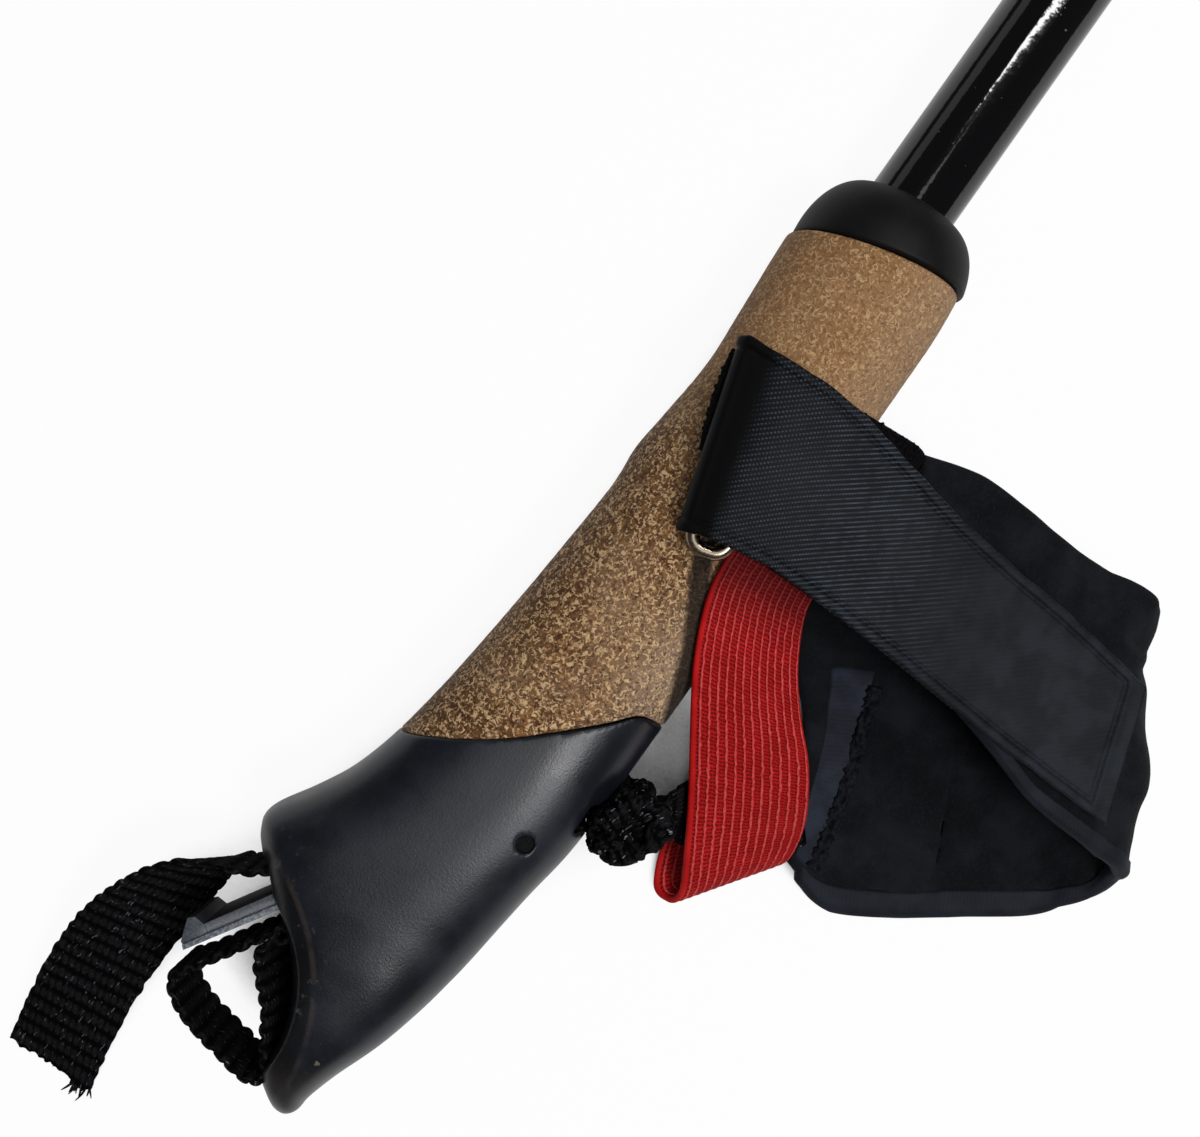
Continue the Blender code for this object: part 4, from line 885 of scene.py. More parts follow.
def uneven(*axes):
    """Smooth noise at places, from about -1 to 1. Its bumps are one unit wide."""
    axes = np.broadcast_arrays(*axes)
    spots = np.stack(axes, -1).reshape(-1, 3)
    return np.array([noise.noise(Vector(spot)) for spot in spots]).reshape(axes[0].shape)


def turned(angle):
    """A turn of the XY plane."""
    return np.array(((math.cos(angle), -math.sin(angle)), (math.sin(angle), math.cos(angle))))


def tube(rings, around, ends="capped"):
    """Faces over points in rings, with both ends capped or with the last ring joined to the first."""
    index = np.arange(rings * around).reshape(rings, around)
    if ends == "joined":
        index = np.concatenate([index, index[:1]])
    after = np.roll(index, -1, axis=1)
    faces = np.stack([index[:-1], after[:-1], after[1:], index[1:]], -1).reshape(-1, 4).tolist()
    if ends == "capped":
        faces += [index[0][::-1].tolist(), index[-1].tolist()]
    return faces


def grid_normals(grid):
    along = np.gradient(grid, axis=0)
    across = np.gradient(grid, axis=1)
    return unit(np.cross(along, across))


def shell(grid, normals, upper, lower):
    """Points and faces of a closed shell over a grid, from its two half thicknesses."""
    rows, columns = grid.shape[:2]
    points = np.concatenate(
        [
            (grid + normals * upper[..., None]).reshape(-1, 3),
            (grid - normals * lower[..., None]).reshape(-1, 3),
        ]
    )
    index = np.arange(rows * columns).reshape(rows, columns)
    top = np.stack([index[:-1, :-1], index[:-1, 1:], index[1:, 1:], index[1:, :-1]], -1).reshape(-1, 4)
    below = top[:, ::-1] + rows * columns
    rim = np.concatenate([index[0, :-1], index[:-1, -1], index[-1, :0:-1], index[:0:-1, 0]])
    after = np.roll(rim, -1)
    sides = np.stack([rim, rim + rows * columns, after + rows * columns, after], -1)
    return points, np.concatenate([top, below, sides])


def strip(name, rows, thickness, step, columns, look, body, slot, stands_for, **shape):
    """A strip of cloth or webbing through rows of two edge points.

    shape may hold weave (its height from 0 to 1 at places along and across) with the depth of that weave,
    shift (how far the weave is moved along on the strip's underside), relief (a height in metres), wave (how
    far each edge wanders out), bend (how far the whole strip waves), ragged (how far the cut end reaches),
    round_edge (where its edges thin out) and drawn (the full width of a pattern that is pulled in with it).
    """
    rows, run = even_rows(rows, step)
    share = np.linspace(0, 1, columns + 1)
    grid = rows[:, :1] * (1 - share[None, :, None]) + rows[:, 1:] * share[None, :, None]
    width = np.linalg.norm(rows[:, 1] - rows[:, 0], axis=1)[:, None]
    x = np.repeat(run[:, None], columns + 1, axis=1)
    y = (share[None, :] - 0.5) * width
    across = (share[None, :] - 0.5) * shape["drawn"] + 0 * width if "drawn" in shape else y
    normals = grid_normals(grid)
    side = unit(rows[:, 1:] - rows[:, :1])
    edge = np.clip((np.abs(y) / (width / 2) - 0.8) / 0.2, 0, 1)
    if "wave" in shape:
        grid = grid + side * (np.sign(y) * edge * shape["wave"](x, y))[..., None]
    if "ragged" in shape:
        ahead = unit(rows[-1] - rows[-3]).mean(axis=0)
        last = np.clip((x - run[-1] + 2.5 * MM) / (2.5 * MM), 0, 1)
        grid = grid + ahead * (last * shape["ragged"](y))[..., None]
    if "bend" in shape:
        grid = grid + normals * shape["bend"](x, y)[..., None]
        normals = grid_normals(grid)
    rounding = shape.get("round_edge", 0.5 * MM)
    inside = np.clip((width / 2 - np.abs(y)) / rounding, 0, 1)
    half = thickness / 2 * (0.35 + 0.65 * np.sqrt(1 - (1 - inside) ** 2))
    relief = shape["relief"](x, across, width, run[-1]) if "relief" in shape else np.zeros(x.shape)
    height, under = np.full(x.shape, 1.0), np.full(x.shape, 1.0)
    upper, lower = half + relief, half + relief
    if "weave" in shape:
        height = shape["weave"](x, y)
        under = shape["weave"](x + shape["shift"], y + shape["shift"])
        upper = upper + (height - 0.5) * shape["depth"]
        lower = lower + (under - 0.5) * shape["depth"]
    points, faces = shell(grid, normals, upper, lower)
    above, below = (np.stack([x, across, level], -1).reshape(-1, 3) for level in (height, under))
    places = np.concatenate([above, below])
    return piece(name, points, faces, look, body, stands_for, places)


# Grip

FINE_STATIONS = smooth_rows(GRIP_STATIONS, 12)


def grip_surface(behind, angles):
    """Points of the grip's surface at given distances behind the collar's face, one for each angle."""
    sizes = [np.interp(behind, FINE_STATIONS[:, 0], FINE_STATIONS[:, k]) for k in (1, 2, 3)]
    squared = np.clip((behind - HEAD_FIRST) / JOINT_LENGTH, 0, 1)
    power = ROUND_POWER + (HEAD_POWER - ROUND_POWER) * squared
    c, s = np.cos(angles), np.sin(angles)
    front, rear, side = sizes
    y = (front - rear) / 2 + (front + rear) / 2 * np.sign(c) * np.abs(c) ** (2 / power)
    z = side * np.sign(s) * np.abs(s) ** (2 / power)
    return np.stack([-behind, y, z], -1)


def joint_x(y):
    """The joint line's place along the pole for a place across it."""
    line = smooth_rows(np.array(JOINT_LINE)[:, None, :], 12)[:, 0]
    slant = unit(line[0] - line[1]) * 0.02
    line = np.concatenate([[line[0] + slant], line, [line[-1] + np.array((0, -0.01))]])
    order = np.argsort(line[:, 1])
    return np.interp(y, line[order, 1], line[order, 0])


def make_cork():
    """The cork body between the collar's slanted joint and the head's curved one."""
    around, rows = 200, 260
    angles = np.arange(around) / around * math.tau
    top = np.full(around, COLLAR_JOINT)
    bottom = np.full(around, -JOINT_LINE[0][0])
    for _ in range(30):
        y = grip_surface(top, angles)[:, 1]
        top = COLLAR_JOINT + GLUE_GAP + math.tan(COLLAR_SLANT) * y
        y = grip_surface(bottom, angles)[:, 1]
        bottom = bottom * 0.5 - 0.5 * joint_x(y)
    grid = []
    for row in range(rows + 1):
        behind = top + (bottom - top) * row / rows
        from_end = np.minimum(row, rows - row) / rows * (bottom - top)
        points = grip_surface(behind, angles)
        rounding = np.clip(1 - from_end / (0.7 * MM), 0, 1) ** 2 * 0.35 * MM
        outward = unit(points * (0, 1, 1))
        lumps = uneven(*(points / (1.3 * MM)).T)
        points = points - outward * rounding[:, None] + outward * (lumps * 0.05 * MM)[:, None]
        grid.append(points)
    grid = np.array(grid)
    first, last = grid[0].copy(), grid[-1].copy()
    for ring in (first, last):
        reach = np.linalg.norm(ring[:, 1:], axis=1, keepdims=True)
        ring[:, 1:] *= CORK_BORE / reach
    rings = np.concatenate([[first], grid, [last]])
    piece("cork_body", rings, tube(len(rings), around, "joined"), CORK, "pole", ["cork_grip"])


def make_collar():
    """The moulded dome between cork and shaft. Its rounded skirt ends on the slanted joint."""
    around, steps = 160, 56
    angles = np.arange(around) / around * math.tau
    turns = np.linspace(0, math.pi / 2, 90)
    radius = COLLAR_NOSE_RADIUS + (COLLAR_RADIUS - COLLAR_NOSE_RADIUS) * np.sin(turns)
    along = -COLLAR_JOINT + (COLLAR_JOINT - COLLAR_FACE) * np.cos(turns)
    profile = np.concatenate(
        [
            [(COLLAR_BORE, -COLLAR_FACE - 0.8 * MM), (COLLAR_BORE + 0.3 * MM, -COLLAR_FACE)],
            np.stack([radius, along], -1),
            [(COLLAR_RADIUS, -COLLAR_JOINT - d * MM) for d in np.linspace(0.2, 8, 40)],
        ]
    )
    tilt = np.array(Matrix.Rotation(COLLAR_TILT, 3, "Z"))
    slope = math.tan(COLLAR_SLANT)
    columns = []
    for angle in angles:
        line = np.stack(
            [profile[:, 1], profile[:, 0] * math.cos(angle), profile[:, 0] * math.sin(angle)], -1
        ) @ tilt.T
        beyond = line[:, 0] + COLLAR_JOINT + slope * line[:, 1]
        last = int(np.argmax(beyond < 0))
        share = beyond[last - 1] / (beyond[last - 1] - beyond[last])
        end = line[last - 1] + (line[last] - line[last - 1]) * share
        line = np.concatenate([line[:last], [end]])
        run = np.concatenate([[0], np.cumsum(np.linalg.norm(np.diff(line, axis=0), axis=1))])
        at = np.concatenate([[0, run[1]], np.linspace(run[1] + 0.3 * MM, run[-1], steps)])
        column = np.stack([np.interp(at, run, line[:, k]) for k in range(3)], -1)
        near = np.clip(1 - (run[-1] - at) / (0.9 * MM), 0, 1)
        inset = (1 - np.sqrt(1 - near**2)) * 0.7 * MM
        reach = np.linalg.norm(column[:, 1:], axis=1)
        column[:, 1:] *= (1 - inset / reach)[:, None]
        inner = column[-1].copy()
        inner[1:] *= CORK_BORE / np.linalg.norm(inner[1:])
        inner[0] = -COLLAR_JOINT - slope * inner[1]
        deep = inner.copy()
        deep[0] = -COLLAR_POCKET
        shallow = deep.copy()
        shallow[1:] *= COLLAR_BORE / CORK_BORE
        columns.append(np.concatenate([column, [inner, deep, shallow]]))
    rings = np.array(columns).transpose(1, 0, 2)
    faces = tube(len(rings), around, "joined")
    piece("collar", rings, faces, COLLAR_PLASTIC, "pole", ["grip_collar"])


def cutter(points, faces):
    mesh = bpy.data.meshes.new("cutter")
    mesh.from_pydata([list(p) for p in points], [], [list(map(int, f)) for f in faces])
    obj = bpy.data.objects.new("cutter", mesh)
    bpy.context.scene.collection.objects.link(obj)
    face_outwards(mesh)
    return obj


def prism(outline, half):
    """A flat outline of the pole's XY plane, as a block from -half to half."""
    count = len(outline)
    points = [(x, y, -half) for x, y in outline] + [(x, y, half) for x, y in outline]
    return cutter(points, tube(2, count))


def circle(centre, radius, sides):
    turns = [math.tau * i / sides for i in range(sides)]
    return [(centre[0] + radius * math.cos(t), centre[1] + radius * math.sin(t)) for t in turns]


def wedge_point(depth, rise):
    """A point of the pole's XY plane, from its depth in the slot and its rise above the wedge's middle."""
    along = np.array((math.cos(WEDGE_ANGLE), math.sin(WEDGE_ANGLE)))
    return WEDGE_MOUTH + along * depth + np.array((-along[1], along[0])) * rise


def channel_outline():
    deep = TURN_DEPTH + 2 * WEDGE_END_ROOM
    return [
        tuple(point)
        for point in (
            wedge_point(-0.010, 0.0100),
            wedge_point(0, 0.0100),
            wedge_point(deep, 0.0050),
            PIN_PLACE + (0.0085, 0.0035),
            PORT_PLACE + (0.0020, 0.0065),
            PORT_PLACE + (-0.0028, 0.0062),
            PIN_PLACE + (-0.0030, -0.0030),
            wedge_point(deep - WEDGE_END_ROOM, -0.0082),
            wedge_point(-0.020, -0.0082),
        )
    ]


def dish_cutter():
    """The dish as a lathed block that flares where its wall rolls over into the head's flat sides."""
    sides = 200
    flare = HEAD_HALF_WIDTH - DISH_WALL_HEIGHT
    levels = 14
    heights, radii = [], []
    for share in np.linspace(0, 1, levels):
        heights.append(DISH_WALL_HEIGHT + flare * math.sin(share * math.pi / 2))
        grown = 1 - math.cos(share * math.pi / 2)
        radii.append(DISH_WALL_RADIUS + (DISH_RIM_RADIUS - DISH_WALL_RADIUS) * grown)
    heights.append(PAST_HEAD)
    radii.append(radii[-1] + MM)
    heights = [-h for h in heights[::-1]] + heights
    radii = radii[::-1] + radii
    points = []
    for height, radius in zip(heights, radii):
        points += [(*spot, height) for spot in circle(DISH_CENTRE, radius, sides)]
    return cutter(points, tube(len(heights), sides))


def cut(obj, blocks):
    """Cuts blocks out of an object and deletes them."""
    for block in blocks:
        change = obj.modifiers.new("cut", "BOOLEAN")
        change.operation = "DIFFERENCE"
        change.solver = "EXACT"
        change.object = block
    apply_modifiers(obj)
    for block in blocks:
        bpy.data.objects.remove(block, do_unlink=True)


def mould(obj, name, look, place_in):
    """Names and places a cut block and gives it its one material."""
    obj.name = obj.data.name = name
    obj.data.transform(place_in)
    obj.data.materials.clear()
    obj.data.materials.append(look)
    obj.data.shade_smooth()


def make_head():
    """The moulded head: a smooth body, hollowed and bored, with every edge softened as a mould does."""
    around = 120
    angles = np.arange(around) / around * math.tau
    stations = FINE_STATIONS[FINE_STATIONS[:, 0] >= HEAD_FIRST][::2]
    rings = [grip_surface(np.full(around, behind), angles) for behind in stations[:, 0]]
    head = cutter(np.concatenate(rings), tube(len(rings), around))
    line = smooth_rows(np.array(JOINT_LINE)[:, None, :], 8)[:, 0] - (GLUE_GAP, 0)
    beyond = line[0] + unit(line[0] - line[1]) * 0.03
    joint = [tuple(beyond), *map(tuple, line), (line[-1][0], -0.04), (0.02, -0.04), (0.02, beyond[1])]
    cutters = [
        prism(joint, PAST_HEAD),
        dish_cutter(),
        prism(channel_outline(), CHANNEL_HALF_WIDTH),
        prism(circle(PORT_PLACE, PORT_ROLL_REACH, 48), CHANNEL_HALF_WIDTH),
        prism(circle(PIN_PLACE, PIN_HOLE_RADIUS, 32), PAST_HEAD),
    ]
    cut(head, cutters)
    remesh = head.modifiers.new("soft edges", "REMESH")
    remesh.mode = "VOXEL"
    remesh.voxel_size = HEAD_VOXEL
    ease = head.modifiers.new("ease", "SMOOTH")
    ease.factor = 0.5
    ease.iterations = 6
    apply_modifiers(head)
    mould(head, "head", NYLON, POLE)
    finish_piece(head, "pole", ["head_shell"])


# Webbing

def on_edge(places, height=0.0):
    """Rows for webbing that stands on its edge along places of the XY plane."""
    rise = UP * (WEBBING_WIDTH / 2)
    return [[np.array((x, y, height)) - rise, np.array((x, y, height)) + rise] for x, y in places]


def leaning(course, across):
    """Rows for webbing along places, heights and leans, where a lean of 90 degrees is on edge."""
    rows = []
    for x, y, z, lean in course:
        rise = math.radians(lean)
        side = unit(np.array((across[0] * math.cos(rise), across[1] * math.cos(rise), math.sin(rise))))
        middle = np.array((x, y, z))
        rows.append([middle - side * WEBBING_WIDTH / 2, middle + side * WEBBING_WIDTH / 2])
    return rows


def arc(centre, radius, first, last, count):
    turns = np.radians(np.linspace(first, last, count))
    return [np.asarray(centre) + radius * np.array((math.cos(t), math.sin(t))) for t in turns]


ROW_PITCH = 3.2 * MM
YARN_PITCH = 1.5 * MM
# Factors of the usual hash by which each yarn gets a thickness of its own
HASH = (12.9898, 78.233, 43758.5453)
BUNCH_REACH = (
    (-180, 6.7),
    (-150, 6.9),
    (-120, 7.1),
    (-90, 7.1),
    (-55, 6.8),
    (-20, 7.0),
    (0, 9.6),
    (15, 10.2),
    (30, 10.2),
    (50, 11.0),
    (70, 11.6),
    (90, 11.4),
    (110, 10.4),
    (128, 8.8),
    (150, 6.9),
    (180, 6.7),
)


def webbing_weave(x, y):
    """Height of the webbing: broad ridges 3.2 mm apart with a dark gap between, made of slanting yarns."""
    row = np.floor(x / ROW_PITCH)
    column = np.round(y / YARN_PITCH + 0.5 * (row % 2))
    off = y / YARN_PITCH + 0.5 * (row % 2) - column
    yarn = np.modf(np.abs(np.sin(row * HASH[0] + column * HASH[1]) * HASH[2]))[0]
    lean = (x / ROW_PITCH - row - 0.45) * 0.45
    across = 0.35 + 0.65 * np.clip(np.cos((off + lean) * math.pi * 0.92), 0, 1) ** 0.6
    at = (x / ROW_PITCH - row - 0.45 + 0.10 * (yarn - 0.5)) / 0.43
    swell = np.sqrt(np.clip(1 - at**2, 0, 1)) * (0.84 + 0.16 * yarn)
    return np.clip(0.98 * across * swell, 0, 1)


def webbing_edge(x, y):
    """The selvedge bulges a little for each row of the weave, and unevenly."""
    bulges = uneven(x / (2.6 * MM), np.sign(y) * 3.1, 0.9)
    return (0.10 * np.cos(math.tau * (x / ROW_PITCH - 0.45)) + 0.35 * bulges) * MM


WOVEN = dict(
    weave=webbing_weave, depth=0.62 * MM, shift=ROW_PITCH / 2, wave=webbing_edge, round_edge=0.9 * MM
)


def cut_end(y):
    """How far the tail's cut end reaches: uneven, and longest where the yarns have come loose."""
    return (0.8 * uneven(y / (1.3 * MM), 4.4, 0) + 1.5 * np.exp(-(((y + 8.2 * MM) / (1.6 * MM)) ** 2))) * MM


def make_yarn_ends(rows):
    """Loose yarns along the tail's cut end, most of them in a tuft at its lower corner."""
    start_row, end_row = rows[-2], rows[-1]
    ahead = unit((end_row[0] + end_row[1]) - (start_row[0] + start_row[1]))
    across = unit(end_row[1] - end_row[0])
    sides, steps = 6, 7
    points, faces = [], []
    for k in range(22):
        u, turn, more = (0.5 + noise.noise(Vector((k * 1.7, seed, 0.5))) for seed in (2.2, 8.3, 5.1))
        u = (k % 11 + 0.8 * u) / 11.0
        tuft = k >= 9
        if tuft:
            u = u * 0.22
        reach = cut_end(np.array([(u - 0.5) * WEBBING_WIDTH]))[0]
        spot = end_row[0] + (end_row[1] - end_row[0]) * u + ahead * (reach - 0.5 * MM)
        way = unit(ahead + across * (turn - 0.5) * (1.2 if tuft else 2.4) + UP * (more - 0.3) * 0.8)
        bow = unit(across * (more - 0.5) + UP * 0.4)
        length = (1.6 + 1.6 * more if tuft else 0.5 + 0.8 * more) * MM
        radius = (0.24 + 0.10 * turn if tuft else 0.13) * MM
        side = unit(np.cross(way, UP))
        over = np.cross(way, side)
        base = len(points)
        for i in range(steps):
            t = i / (steps - 1)
            middle = spot + way * length * t + bow * length * 0.5 * t * t
            thin = radius * (1 - 0.6 * t**3)
            for j in range(sides):
                angle = math.tau * j / sides
                points.append(middle + (side * math.cos(angle) + over * math.sin(angle)) * thin)
        faces += [[base + i for i in face] for face in tube(steps, sides)]
    places = np.tile((0.0, 0.0, 0.8), (len(points), 1))
    piece("loose_yarn_ends", points, faces, WEBBING, "pole", [], places)


def make_bunch(level):
    """The lead's webbing bunched up beside the port: a rough lump of folds in which the weave still shows."""
    half_height = 12.4 * MM
    around, rows = 190, 120
    up_in_photo = math.atan2(0.576, 0.817)
    angles = np.linspace(0, math.tau, around, endpoint=False)
    clockwise = np.degrees((up_in_photo - angles + math.pi) % math.tau - math.pi)
    reach = np.interp(clockwise, [a for a, _ in BUNCH_REACH], [r for _, r in BUNCH_REACH]) * MM
    reach = (np.roll(reach, 3) + reach * 2 + np.roll(reach, -3)) / 4
    right = np.clip(np.sin(np.radians(clockwise)) * reach / (11 * MM), 0, 1)
    rise = np.linspace(-math.pi / 2 + 0.02, math.pi / 2 - 0.02, rows)
    flat = np.cos(rise) ** 0.42
    tall = np.sign(rise) * np.abs(np.sin(rise)) ** 0.55
    x = flat[:, None] * reach[None, :] * np.cos(angles)[None, :]
    y = flat[:, None] * reach[None, :] * np.sin(angles)[None, :]
    z = tall[:, None] * half_height * (1 - 0.45 * right**2)[None, :]
    points = np.stack([x, y, z], -1)
    out = unit(np.stack([x / (8 * MM) ** 2, y / (8 * MM) ** 2, z**3 / half_height**4 * 2], -1))
    slant = math.radians(-20)
    cap = np.abs(rise)[:, None] > 0.55
    u = np.where(cap, x * math.cos(slant) + y * math.sin(slant), angles[None, :] * 8 * MM)
    v = np.where(cap, y * math.cos(slant) - x * math.sin(slant), z)
    height = webbing_weave(u * 1.2, v * 1.1)
    lumps = uneven(x / (3.6 * MM), y / (3.6 * MM), z / (3.6 * MM))
    fine = uneven(x / MM + 5, y / MM + 2, z / MM + 1)
    folds = np.cos((y * 0.9 + x * 0.5 + lumps * 1.2 * MM) * math.tau / (5.2 * MM))
    relief = (0.7 * (height - 0.7) + 1.0 * lumps + 0.6 * fine + 0.7 * (folds - 1)) * MM
    points = points + out * np.minimum(relief, 0.15 * MM)[..., None]
    points = points + np.array((*PORT_PLACE, level))
    places = np.stack([u, v, np.clip(height + 0.8 * fine + 0.5 * lumps, 0, 1)], -1)
    piece("lead_bunch", points, tube(rows, around), FRAYED_WEBBING, "strap", [], places)


def make_webbing():
    rows_of = {}
    wrap = PIN_RADIUS + SLIDE_GAP + WEBBING_THICKNESS / 2
    towards_pin = unit(PIN_PLACE + (wrap, 0) - PORT_PLACE)
    places = [PORT_PLACE + towards_pin * PORT_ROLL_REACH]
    places += arc(PIN_PLACE, wrap, *PIN_WRAP, 3)
    places.append(wedge_point(TURN_DEPTH + WEDGE_END_ROOM, -STRAND_BEHIND + GLUE_GAP))
    places.append(wedge_point(TURN_DEPTH / 2, -STRAND_BEHIND))
    places.append(wedge_point(STRAND_SPLIT + SLIDE_GAP, -STRAND_BEHIND))
    rows_of["webbing_inner"] = on_edge(places)
    apart = STRAND_UNDER + WEBBING_THICKNESS + SLIDE_GAP
    places = [wedge_point(STRAND_SPLIT, -STRAND_BEHIND), wedge_point(-2 * STRAND_SPLIT, -apart)]
    for place_at in LOOP_COURSE[:3]:
        outward = unit(np.array(place_at) - DISH_CENTRE)
        places.append(np.array(place_at) + outward * LOOP_SHIFT)
    places += [np.array(place_at) for place_at in LOOP_COURSE[3:]]
    for depth in (STRAND_TURN, STRAND_TURN / 2, STRAND_SPLIT):
        places.append(wedge_point(depth, -STRAND_UNDER))
    rows = on_edge(places)
    for row, place_at, lean in zip(rows[1:5], places[1:5], LOOP_LEAN):
        row[0][:2] += unit(place_at - DISH_CENTRE) * lean
    rows_of["webbing_loop"] = rows
    fold = WEDGE_INNER_THICKNESS / 2 + SLIDE_GAP + WEBBING_THICKNESS / 2
    first = math.degrees(WEDGE_ANGLE) - 90
    places = [wedge_point(STRAND_SPLIT + SLIDE_GAP, -STRAND_UNDER)]
    places.append(wedge_point(WEDGE_TRAVEL, -fold - GLUE_GAP))
    places += arc(wedge_point(TURN_DEPTH, 0), fold, first, first + 180, 7)
    places += [wedge_point(depth, rise) for depth, rise in TAIL_INSIDE]
    rows_of["webbing_tail"] = on_edge(places) + leaning(TAIL_COURSE, (TAIL_SKEW, 1))
    strip(
        "head_webbing_inner", rows_of["webbing_inner"], 1.25 * MM, 0.6 * MM, 34, WEBBING, "pole", "webbing",
        ["webbing_inner"], **WOVEN,
    )
    strip(
        "head_webbing_loop", rows_of["webbing_loop"], 1.5 * MM, 0.30 * MM, 68, WEBBING, "pole", "webbing",
        ["webbing_loop"], **WOVEN,
    )
    strip(
        "head_webbing_tail", rows_of["webbing_tail"], 1.3 * MM, 0.28 * MM, 76, WEBBING, "pole", "webbing",
        ["webbing_tail"], ragged=cut_end, **WOVEN,
    )
    make_yarn_ends(rows_of["webbing_tail"])
    level = math.sin(AXIS_DROP) * -PORT_PLACE[0]
    rows = on_edge(arc(PORT_PLACE, PORT_ROLL_RADIUS, 70, 285, 11), level)
    rows += leaning(LEAD_COURSE, LEAD_ACROSS)
    strip("lead_webbing", rows, 1.3 * MM, 0.34 * MM, 60, WEBBING, "strap", "webbing", ["strap_lead"], **WOVEN)
    make_bunch(level)


def make_wedge():
    """The grey wedge on its edge: two raised ribs along it with a groove between, and a hook outside."""
    half_width = WEDGE_WIDTH / 2
    turn = Matrix.Translation((*WEDGE_MOUTH, 0)) @ Matrix.Rotation(WEDGE_ANGLE, 4, "Z")
    body = prism(WEDGE_OUTLINE, half_width)
    grooves = []
    low, high = GROOVE_RISE - 0.12 * MM, GROOVE_RISE + 0.12 * MM
    first, last = -0.0200, 0.0125
    for level in (-1, 1):
        slot = prism([(first, low), (last, low), (last, high), (first, high)], 0.45 * MM)
        slot.location.z = level * half_width
        grooves.append(slot)
    step = [(-0.0135, GROOVE_RISE), (0.0125, GROOVE_RISE), (0.0125, 0.0032), (-0.0133, 0.0032)]
    lower = prism(step, 0.3 * MM)
    lower.location.z = half_width
    cut(body, [*grooves, lower])
    edge = body.modifiers.new("edges", "BEVEL")
    edge.width = 0.14 * MM
    edge.segments = 2
    edge.limit_method = "ANGLE"
    edge.angle_limit = math.radians(30)
    apply_modifiers(body)
    mould(body, "wedge", WEDGE_NYLON, POLE @ turn)
    body.data.set_sharp_from_angle(angle=math.radians(40))
    finish_piece(body, "wedge", ["strap_wedge"])


# Strap

def ring_frame_point(along, away, height):
    turn = turned(RING_ANGLE)
    bar = RING_CENTRE[:2] + turn @ (0, RING_HALF_WIDTH)
    spot = bar + turn @ (along, -away)
    return np.array((*spot, RING_CENTRE[2] + height))


def ring_curl(degrees, along_from, along_to, away=0.0):
    """Rows for a band's curl round a bar of the ring."""
    curl = RING_WIRE_RADIUS + SLIDE_GAP + BAND_THICKNESS / 2
    rows = []
    for angle in map(math.radians, degrees):
        across = away + curl * math.cos(angle)
        height = curl * math.sin(angle)
        rows.append([ring_frame_point(end, across, height) for end in (along_from, along_to)])
    return rows


def cuff_point(along, away, height):
    spot = CUFF_CENTRE + turned(CUFF_ANGLE) @ (along, -away)
    return np.array((*spot, height))


def cuff_rows():
    return [[cuff_point(a, v, z), cuff_point(b, w, z)] for v, w, z, a, b in CUFF_ROWS]


def cuff_surface():
    """The cuff's middle surface as a grid, with its soft folds, and how far it is along and across."""
    rows, run = even_rows(cuff_rows(), CUFF_STEP)
    share = np.linspace(0, 1, CUFF_COLUMNS + 1)
    grid = rows[:, :1] * (1 - share[None, :, None]) + rows[:, 1:] * share[None, :, None]
    away = -np.array((-math.sin(CUFF_ANGLE), math.cos(CUFF_ANGLE), 0))
    start_part = np.clip(1 - run / (20 * MM), 0, 1)[:, None] ** 2
    gather = np.exp(-(((share - 0.66) / 0.17) ** 2))[None, :] * start_part
    grid = grid - away * (gather * 6.0 * MM)[..., None]
    far = (grid[..., :2] - CUFF_CENTRE) @ away[:2]
    near_turn = np.clip((far - 14 * MM) / (10 * MM), 0, 1) ** 2
    wave = smooth_rows(np.array(TURN_WAVE)[:, None, :], 8)[:, 0]
    bulge = np.interp(share, wave[:, 0], wave[:, 1])
    grid = grid + away * (near_turn * bulge[None, :])[..., None]
    lower = np.clip(1 - run / (78 * MM), 0, 1)[:, None] ** 0.5
    puffed = np.clip((share - 0.70) / 0.30, 0, 1)[None, :] ** 2 * lower
    grid = grid + UP * (puffed * 3.5 * MM)[..., None]
    normals = grid_normals(grid)
    x, y, z = grid.transpose(2, 0, 1)
    folds = uneven(x / (7.5 * MM), y / (28 * MM), z / (12 * MM))
    dents = uneven(x / (5.5 * MM) + 3, y / (5.5 * MM) + 1, z / (5.5 * MM) + 2)
    wrist = np.repeat(np.clip((share - 0.25) / 0.45, 0.25, 1)[None, :], len(run), axis=0)
    upper = np.clip((run - 72 * MM) / (20 * MM), 0, 1)[:, None]
    soft = folds * wrist * (1.8 + 1.0 * upper) + dents * 0.45
    for start_at, end_at, wide, deep, low_layer in CUFF_CREASES:
        a, b = (np.array(cuff_point(along, off, 0)[:2]) for along, off in (start_at, end_at))
        line = b - a
        spot = grid[..., :2] - a
        t = np.clip((spot @ line) / (line @ line), 0, 1)
        off = np.linalg.norm(spot - t[..., None] * line, axis=-1)
        layer = (grid[..., 2] < -0.008) == low_layer
        soft = soft - deep / MM * np.exp(-((off / wide) ** 2)) * layer
    grid = grid + normals * (soft * MM)[..., None]
    return grid, grid_normals(grid), run, share, np.linalg.norm(rows[:, 1] - rows[:, 0], axis=1)


def make_cuff():
    """The padded cuff: a soft panel wound into a flat tube, with folds and creases."""
    grid, normals, run, share, width = cuff_surface()
    from_edge = np.minimum(share, 1 - share)[None, :] * width[:, None]
    from_end = np.minimum(run, run[-1] - run)[:, None]
    thin = np.clip(np.minimum(from_edge, from_end) / (2.5 * MM), 0, 1)
    half = CUFF_THICKNESS / 2 * (0.45 + 0.55 * np.sqrt(1 - (1 - thin) ** 2))
    points, faces = shell(grid, normals, half, half)
    cuff = piece("cuff_padding", points, faces, CLOTH, "strap", ["cuff_panel"])


